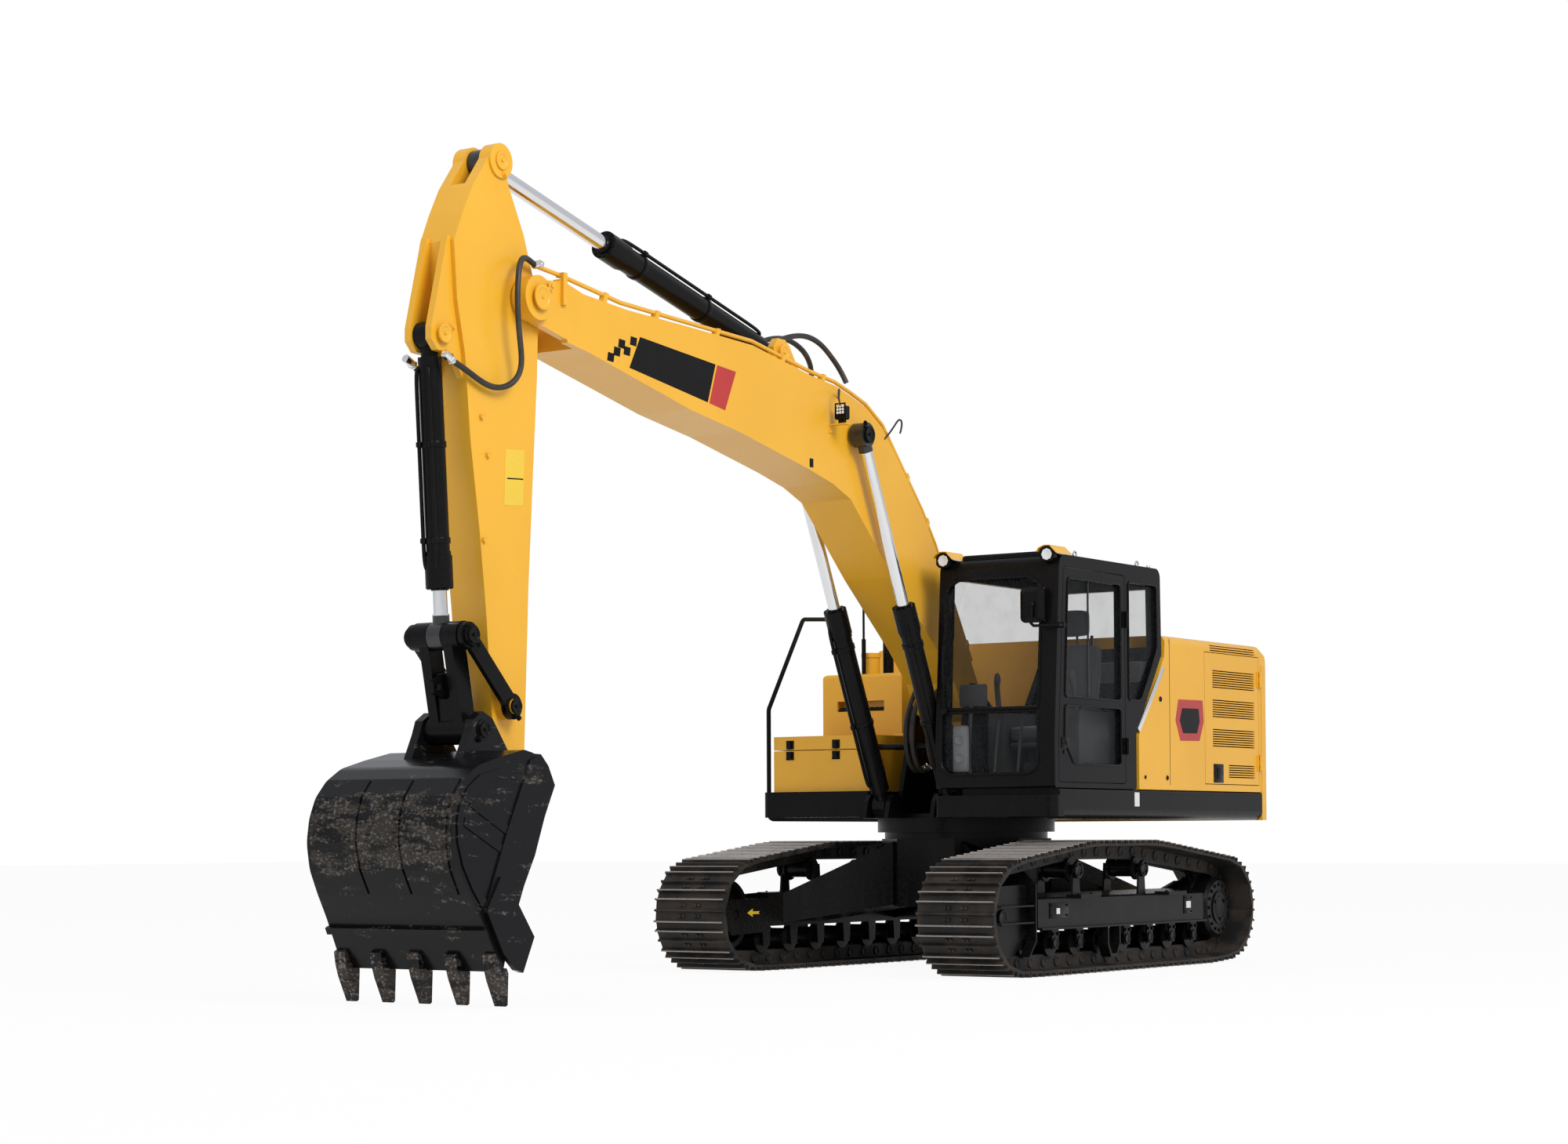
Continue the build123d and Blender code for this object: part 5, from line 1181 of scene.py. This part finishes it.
    def lugs(self) -> None:
        """Welds the small pads and grease blocks on the arm's side and the boom's."""
        y = self.arm_half
        arm = [disc((x, y - 1, z), (x, y + 20, z), 16, 16, 2.0, 3.0)
               for x, z in ((5879, 3460), (5823, 3239), (5860, 2732))]
        piece("arm_lugs", arm, Finish.YELLOW, "arm", both=True)
        boom = [block((2395, self.half - 1, 3500), (2440, self.half + 3, 3560), 2.0)]
        piece("boom_plates", boom, Finish.BLACK, "boom", both=True)

    def build(self) -> None:
        """Makes all of it."""
        self.hoses()
        self.foot_hoses()
        self.signs()
        self.lamp()
        self.lugs()


@dataclass
class CabFittings:
    """Seals, wiper, door handle, lifting eyes, lamp and mirror glass, and the cab's inside."""

    side: float = 1350.0
    roof: float = 2950.0
    floor: float = 1310.0
    lamp_ys: Flat = (435.0, 1277.0)
    front_ys: Flat = (430.0, 1215.0)
    front: float = 1088.0       # the face's foot, where it bends back and how far by the roof
    bend: float = 1650.0
    lean: float = 88.0
    corner: float = 20.0        # how much a side pane's corner is cut
    # each pane's outline on the cab's side, (x, z), and its seal's body and name
    panes: tuple[tuple[str, str, tuple[Flat, ...]], ...] = (
        ("cab_door", "door_seal_upper", ((87, 1950), (935, 1950), (882, 2790), (87, 2790))),
        ("cab_door", "door_seal_lower",
         ((87, 1480), (810, 1480), (945, 1640), (935, 1890), (87, 1890))),
        ("upper", "", ((-40, 2820), (-490, 2820), (-500, 2340), (-230, 1960), (-40, 1960))))

    def front_x(self, z: float) -> float:
        """Where the cab's front face is at a height."""
        return self.front - self.lean * max(0.0, z - self.bend) / (self.roof - self.bend)

    def seals(self) -> None:
        """Sets a rubber bead round every pane."""
        parts = []
        y0, y1 = self.front_ys
        for z0, z1, low, high in ((1875.0, 2800.0, 22.0, 125.0), (1410.0, 1850.0, 95.0, 22.0)):
            ring = []
            for cy, cz, r, start in ((y0 + low, z0 + low, low, 180), (y1 - low, z0 + low, low, 270),
                                     (y1 - high, z1 - high, high, 0),
                                     (y0 + high, z1 - high, high, 90)):
                for a in (radians(start + 22.5 * step) for step in range(5)):
                    z = cz + r * sin(a)
                    ring.append((self.front_x(z) + 1, cy + r * cos(a), z))
            parts.append(self.loop(ring, 11.0))
        for body, name, shape in self.panes:
            ring = []
            for i, corner in enumerate(shape):
                for other in (shape[i - 1], shape[(i + 1) % len(shape)]):
                    spot = Vector(corner)
                    spot += (Vector(other) - spot).normalized() * self.corner
                    ring.append((spot.x, self.side + 1, spot.y))
            bead = self.loop(ring, 8.0)
            if name:
                piece(name, [bead], Finish.BLACK, body)
            else:
                parts.append(bead)
        piece("cab_seals", parts, Finish.BLACK, "upper")
        rail = [block((548, 1330, 1952), (562, 1341, 2788), 2.0),
                block((500, 1330, 2330), (512, 1352, 2400), 3.0)]
        piece("door_pane_rail", rail, Finish.RUBBER, "cab_door")

    def loop(self, points: Sequence[Point], radius: float) -> bpy.types.Object:
        """A closed bead through points."""
        return tube([*points, points[0]], radius, smooth=False)

    def outside(self) -> None:
        """Adds the wiper, door handle, roof lugs, lamp glasses and mirror glass."""
        wiper = [tube([(1107, 470, 1862), (1104, 462, 2100), (1088, 458, 2330)], 8.0),
                 tube([(1080, 452, 2060), (1066, 452, 2330), (1048, 452, 2640)], 7.0),
                 disc((1080, 470, 1862), (1118, 470, 1862), 22, 20, 4.0)]
        piece("wiper", wiper, Finish.BLACK, "upper")
        y = self.side
        handle = [block((885, y - 2, 1585), (990, y + 5, 1665), 4.0),
                  tube([(905, y + 2, 1625), (915, y + 20, 1625), (960, y + 22, 1625),
                        (972, y + 2, 1625)], 8.0),
                  disc((950, y, 1560), (950, y + 7, 1560), 13, 20, 2.0)]
        piece("door_handle", handle, Finish.BLACK, "cab_door")
        rings = []
        for x, ry, z in ((650, 1285, 2972), (-315, 1285, 2972), (676, 441, 2972)):
            clear()
            bpy.ops.mesh.primitive_torus_add(
                location=(x * MM, ry * MM, z * MM), rotation=(pi / 2, 0, 0),
                major_radius=22 * MM, minor_radius=7 * MM, major_segments=24, minor_segments=10)
            rings.append(settle(bpy.context.object))
            rings.append(disc((x, ry, self.roof - 1), (x, ry, self.roof + 6), 20, 20, 2.0))
        rings.append(disc((-500, 1285, self.roof - 1), (-500, 1285, self.roof + 28), 16, 20, 6.0))
        piece("roof_lugs", rings, Finish.SILVER, "upper")
        glass = [disc((1049, ly, 2946), (1053, ly, 2946), 42, 8, 2.0, 1.5) for ly in self.lamp_ys]
        piece("cab_lamp_lenses", glass, Finish.LENS, "upper")
        pane = block((1058, 1090, 2478), (1062.5, 1263, 2709), 2.0)
        piece("mirror_glass", [pane], Finish.SILVER, "upper")

    def inside(self) -> None:
        """Furnishes the cab: padded seat, arm rests, monitor, sticks, pedals and speakers."""
        low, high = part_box("operator_seat")
        y0, y1 = low[1] / MM, high[1] / MM
        middle = (y0 + y1) / 2
        f = self.floor
        pads = [self.pad((-40, y0, f + 340), (468, y1, f + 468), 16.0),
                self.pad((-60, y0 + 14, f + 470), (70, y1 - 14, f + 1075), 14.0, lean=-0.155),
                self.pad((-112, middle - 145, f + 1130), (-15, middle + 145, f + 1325), 10.0)]
        seat = piece("seat_pads", pads, Finish.SEAT, "upper")
        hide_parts("operator_seat")
        base = [block((0, y0 + 70, f + 52), (360, y1 - 70, f + 200), 20),
                block((30, y0 + 100, f + 200), (330, y1 - 100, f + 300), 14),
                block((-25, y0 + 20, f + 300), (450, y1 - 20, f + 342), 14)]
        base += [disc((-70, y, f + 1040), (-66, y, f + 1160), 9, 12, 1)
                 for y in (middle - 50, middle + 50)]
        frame_piece = piece("seat_frame", base, Finish.PLASTIC, "upper")
        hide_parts("operator_seat")
        parts = [block((860, 470, 1900), (900, 690, 2060), 14),
                 tube([(900, 560, 1380), (930, 560, 1600), (890, 570, 1905)], 14.0),
                 *(block((905, y, 1362), (955, y + 110, 1372), 4)
                   for y in (middle - 150, middle + 40)),
                 *(tube([(930, y, 1370), (900, y, 1560), (850, y, 1800)], 11)
                   for y in (middle - 95, middle + 95))]
        for y in (y0 - 55, y1 + 55):
            parts += [self.knob((500, y, f + 800), 30.0),
                      block((120, y - 40, f + 560), (430, y + 40, f + 600), 14)]
        piece("cab_controls", parts, Finish.PLASTIC, "upper")
        screen = [block((857, 482, 1915), (860.5, 678, 2045), 2)]
        piece("monitor_screen", screen, Finish.GREY, "upper")
        panel = [block((985, 486, 1424), (1030, 612, 1764), 22),
                 *(disc((1029, 550, z), (1037, 550, z), 38, 28, 3.0, 6.0) for z in (1530, 1660))]
        piece("speaker_panel", panel, Finish.GREY, "upper")
        boxes = [block((-520, 450, 1830), (-360, 1290, 2260), 20)]
        piece("rear_shelf", boxes, Finish.PLASTIC, "upper")

    def knob(self, centre: Point, radius: float) -> bpy.types.Object:
        """A control stick's grip.

        Args:
            centre: its middle.
            radius: its radius before it is drawn out.

        Returns:
            The grip.
        """
        clear()
        bpy.ops.mesh.primitive_uv_sphere_add(segments=20, ring_count=12, radius=radius * MM,
                                             location=[v * MM for v in centre])
        grip = bpy.context.object
        grip.scale = (0.8, 0.8, 1.7)
        return settle(grip)

    def pad(self, low: Point, high: Point, crown: float, lean: float = 0.0) -> bpy.types.Object:
        """A crowned cushion that fills a box.

        Args:
            low: the box's lowest corner.
            high: its highest corner.
            crown: how much its edges fall back from its middle.
            lean: how far its top leans back, as a share of its height.

        Returns:
            The cushion.
        """
        cushion = block(low, high, 0.0)
        edit_all(cushion, lambda: bpy.ops.mesh.subdivide(number_cuts=5))
        middle = (Vector(low) + Vector(high)) / 2 * MM
        half = (Vector(high) - Vector(low)) / 2 * MM
        for vertex in cushion.data.vertices:
            share = [(vertex.co[i] - middle[i]) / half[i] for i in range(3)]
            for i in range(3):
                j, k = (i + 1) % 3, (i + 2) % 3
                fall = max(abs(share[j]), abs(share[k])) ** 3
                vertex.co[i] -= share[i] * crown * MM * fall
            vertex.co[0] += lean * (vertex.co[2] - low[2] * MM)
        soften = cushion.modifiers.new("soften", "SUBSURF")
        soften.levels = soften.render_levels = 2
        take(cushion)
        bpy.ops.object.modifier_apply(modifier="soften")
        return cushion

    def build(self) -> None:
        """Makes all of it."""
        self.seals()
        self.outside()
        self.inside()


@dataclass
class HouseFittings:
    """Latches, seams, step bars and blank signs on the house, the tank and the tracks."""

    side: float = 1350.0

    def seams(self) -> None:
        """Marks the panels' joints with rubber strips and the cab's silver sealing strip."""
        y = self.side
        seam = block((-708, y - 1, 1345), (-702, y + 1.2, 2440), 0.4)
        piece("panel_seams", [seam], Finish.RUBBER, "upper")
        locks = [disc((x, y - 1, z), (x, y + 6, z), r, 20, 2.0, dish)
                 for x, z, r, dish in ((-550, 1983, 20, 3.0), (-296, 1400, 14, 0.0),
                                       (-655, 1400, 18, 3.0))]
        piece("hood_locks", locks, Finish.BLACK, "upper")
        strip = cut_plate([(-179, 1756), (-213, 1728), (-617, 2208), (-583, 2236)], y, y + 3, 0.5)
        piece("sealing_strip", [strip], Finish.SILVER, "upper")

    def latches(self) -> None:
        """Fits the doors' latches and the toolbox's two catches."""
        y = self.side
        pull = [block((-1619, y - 1, 1375), (-1447, y + 4, 1519), 8),
                block((-1600, y + 3, 1400), (-1500, y + 8, 1490), 6),
                disc((-1474, y + 3, 1447), (-1474, y + 8, 1447), 14, 20, 2.0, 2.0)]
        left = piece("hood_latch_left", pull, Finish.BLACK, "hood_door_left")
        piece("hood_latch_right", [other_side(left)], Finish.BLACK, "hood_door_right")
        hooks, catches, bolts = [], [], []
        for ty in (-1152.0, -740.0):
            hooks += [block((649, ty - 34, 1634), (655, ty + 34, 1700), 2),
                      block((654, ty - 16, 1632), (668, ty + 16, 1690), 3)]
            catches += [block((649, ty - 34, 1552), (655, ty + 34, 1616), 2),
                        block((654, ty - 20, 1566), (672, ty + 20, 1606), 3)]
            bolts += [((655, ty + dy, z), (1, 0, 0), 6.0) for dy in (-26, 26) for z in (1560, 1606)]
        piece("toolbox_hooks", hooks, Finish.BLACK, "toolbox_lid")
        piece("toolbox_catches", catches + copies(bolt(), bolts), Finish.BLACK, "upper")

    def signs(self) -> None:
        """Lays blank signs where the machine carries them."""
        y = self.side
        badge = cut_plate([(-850, 1992), (-1262, 1998), (-1282, 1836), (-1205, 1688), (-880, 1682),
                           (-800, 1834)], y, y + 1.5, 0)
        piece("hood_badge", [badge], Finish.RED, "upper")
        field = cut_plate([(-912, 1928), (-1192, 1932), (-1208, 1836), (-1160, 1744), (-926, 1740),
                           (-870, 1834)], y + 1.2, y + 2.4, 0)
        piece("hood_badge_field", [field], Finish.BLACK, "upper")
        skirt = self.sign(-188, 1184, -112, 1286, y + 4, y + 6)
        piece("white_signs", [skirt], Finish.WHITE, "upper")
        track = [self.sign(950, 425, 1000, 465, 1306.5, 1308),
                 self.sign(-1120, 425, -1045, 475, 1304.5, 1306.5)]
        piece("track_signs", track, Finish.WHITE, "undercarriage", both=True)
        arrow = cut_plate([(1371, 430), (1462, 430), (1462, 450), (1532, 420), (1462, 390),
                           (1462, 410), (1371, 410), (1387, 420)], -950.3, -948.5, 0)
        piece("travel_arrow", [arrow], Finish.LABEL, "undercarriage")

    def sign(self, x0: float, z0: float, x1: float, z1: float, low: float,
             high: float) -> bpy.types.Object:
        """A blank upright rectangle.

        Args:
            x0: where it starts.
            z0: its foot.
            x1: where it ends.
            z1: its top.
            low: the y of its back.
            high: the y of its face.

        Returns:
            The sign.
        """
        return cut_plate([(x0, z0), (x1, z0), (x1, z1), (x0, z1)], low, high, 0)

    def tank(self) -> None:
        """Adds the tank's step bar."""
        bar = [block((-112, -1172, 1946), (-66, -758, 1966), 4)]
        bar += [block((-108, y, 1964), (-70, y + 20, 1972), 2) for y in range(-1160, -799, 45)]
        piece("tank_step_bar", bar, Finish.BLACK, "upper")

    def build(self) -> None:
        """Makes all of it."""
        self.seams()
        self.latches()
        self.signs()
        self.tank()


# name, body, (x, z), face, radius, turn of the keeper, finish
PIN_ENDS = (
    ("boom_point_caps", "boom", (5473.0, 4215.0), 275.0, 78.0, 2.4, Finish.YELLOW),
    ("arm_ram_foot_caps", "boom", (2634.0, 4264.0), 127.0, 56.0, 3.9, Finish.YELLOW),
    ("arm_ram_head_caps", "arm", (5698.0, 5015.0), 146.0, 56.0, 4.4, Finish.YELLOW),
    ("bucket_ram_foot_caps", "arm", (6198.0, 3913.0), 122.0, 56.0, 2.6, Finish.YELLOW),
    ("link_pivot_caps", "arm", (5676.0, 1751.0), 230.0, 48.0, 4.4, Finish.BLACK),
    ("link_top_caps", "idler_links", (6082.0, 2155.0), 240.0, 50.0, 4.0, Finish.BLACK),
    ("bucket_link_caps", "bucket", (5972.0, 1604.0), 232.0, 50.0, 5.4, Finish.BLACK),
    ("bucket_pin_caps", "bucket", (5620.0, 1293.0), 232.0, 50.0, 5.2, Finish.BLACK),
    ("boom_ram_head_caps", "boom", (1899.0, 3770.0), 350.0, 60.0, 0.9, Finish.BLACK))

# name, body, foot's and head's (x, z), y, radius, barrel's length, tubes' (height, y), rod
RAMS = (
    *((f"boom_ram_{side}_fittings", f"boom_barrel_{side}", (703.0, 1192.0), (1899.0, 3770.0),
       290.0 * sign, 72.0, 1560.0, ((-82.0, 40.0 * sign),), 43.0)
      for side, sign in (("left", 1), ("right", -1))),
    ("arm_ram_fittings", "arm_barrel", (2634.0, 4264.0), (5698.0, 5015.0), 0.0, 80.0, 1920.0,
     ((84.0, 52.0), (84.0, -52.0)), 49.0),
    ("bucket_ram_fittings", "bucket_barrel", (6198.0, 3913.0), (6082.0, 2155.0), 0.0, 70.0, 1480.0,
     ((74.0, 46.0), (74.0, -46.0)), 42.0))


def assemblies() -> list[Any]:
    """Every sub-assembly, in the order in which it is built."""
    return [RunningGear(), *(PinEnds(*row) for row in PIN_ENDS),
            *(RamFittings(*row) for row in RAMS), BoomFittings(), CabFittings(), HouseFittings()]


# --- floor, light, camera -----------------------------------------------------------------------
@dataclass
class Studio:
    """Plain pale floor, soft light and the camera's stand."""

    camera_at: Point = (19.5482, 11.3713, 0.9632)
    heading: float = 3.7488
    pitch: float = 0.0313
    roll: float = -0.0042
    sensor: float = 36.0
    focal: float = 68.7825
    shift: Flat = (0.03804, 0.11005)
    floor_size: float = 160.0
    pale: Colour = (0.80, 0.80, 0.79)
    mottled: Colour = (0.78, 0.78, 0.77)
    whiteness: float = 0.93
    sky: Colour = (0.93, 0.95, 1.0)
    sky_strength: float = 0.68
    aim: Point = (1.5, 0.0, 1.8)
    # name, place, size, power, whether polished faces mirror it
    lamps: tuple[tuple[str, Point, float, float, bool], ...] = (
        ("key", (9.0, 17.0, 15.0), 9.0, 3000.0, True),
        ("fill", (22.0, -8.0, 9.0), 10.0, 650.0, False))

    def floor(self) -> None:
        """Lays the wide pale floor, which looks white in the camera, in mirrors and in panes."""
        clear()
        bpy.ops.mesh.primitive_plane_add(size=self.floor_size, location=(0, 0, 0))
        plane = bpy.context.object
        plane.name = "floor"
        s = Shader("floor_paper")
        camera, glossy, through = (s.node("LightPath", out=f"Is {ray} Ray")
                                   for ray in ("Camera", "Glossy", "Transmission"))
        paper = s.node("BsdfPrincipled", None, {
            "Base Color": s.mix(s.noise(0.6, 2.0), self.pale, self.mottled), "Roughness": 0.9})
        white = s.node("Emission", None, {"Color": (1, 1, 1, 1), "Strength": 1.0})
        bright = camera.most(glossy * 0.8).most(through) * self.whiteness
        s.node_out(s.node("MixShader", None, {0: bright, 1: paper, 2: white}))
        plane.data.materials.append(s.material)

    def light(self) -> None:
        """Sets a soft sky, white where the camera sees it, a broad key lamp and a weak fill."""
        world = bpy.data.worlds.new("sky")
        bpy.context.scene.world = world
        world.use_nodes = True
        tree = world.node_tree
        tree.nodes.clear()
        backs = []
        for colour, strength in ((self.sky, self.sky_strength), ((1.0, 1.0, 1.0), 1.0)):
            back = tree.nodes.new("ShaderNodeBackground")
            back.inputs["Color"].default_value = (*colour, 1.0)
            back.inputs["Strength"].default_value = strength
            backs.append(back)
        path, seen, mixed, out = (tree.nodes.new(f"ShaderNode{kind}") for kind in (
            "LightPath", "Math", "MixShader", "OutputWorld"))
        seen.operation, seen.use_clamp = "MAXIMUM", True
        for start, end in ((path.outputs["Is Camera Ray"], seen.inputs[0]),
                           (path.outputs["Is Transmission Ray"], seen.inputs[1]),
                           (seen.outputs[0], mixed.inputs[0]),
                           (backs[0].outputs[0], mixed.inputs[1]),
                           (backs[1].outputs[0], mixed.inputs[2]),
                           (mixed.outputs[0], out.inputs[0])):
            tree.links.new(start, end)
        for name, at, size, power, mirrored in self.lamps:
            data = bpy.data.lights.new(name, "AREA")
            data.size, data.energy = size, power
            lamp = added(name, data)
            lamp.location = at
            lamp.visible_glossy = mirrored
            way = Vector(self.aim) - Vector(at)
            lamp.rotation_euler = way.to_track_quat("-Z", "Y").to_euler()

    def camera(self) -> None:
        """Stands the camera where the machine is seen three-quarters from its front left."""
        ahead = Vector((cos(self.heading) * cos(self.pitch), sin(self.heading) * cos(self.pitch),
                        sin(self.pitch)))
        right = ahead.cross(Vector((0, 0, 1))).normalized()
        up = right.cross(ahead).normalized()
        turned_right = right * cos(self.roll) + up * sin(self.roll)
        turned_up = up * cos(self.roll) - right * sin(self.roll)
        data = bpy.data.cameras.new("camera")
        data.sensor_fit, data.sensor_width, data.lens = "HORIZONTAL", self.sensor, self.focal
        data.shift_x, data.shift_y = self.shift
        data.clip_end = 300.0
        eye = added("camera", data)
        basis = Matrix((turned_right, turned_up, -ahead)).transposed().to_4x4()
        eye.matrix_world = Matrix.Translation(self.camera_at) @ basis
        bpy.context.scene.camera = eye


def main() -> None:
    """Builds the scene."""
    logging.basicConfig(level=logging.INFO)
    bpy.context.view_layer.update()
    dress_nodes()
    for assembly in assemblies():
        assembly.build()
    studio = Studio()
    studio.floor()
    studio.light()
    studio.camera()
    bpy.context.scene.view_settings.view_transform = "Standard"


if __name__ == "__main__":
    main()
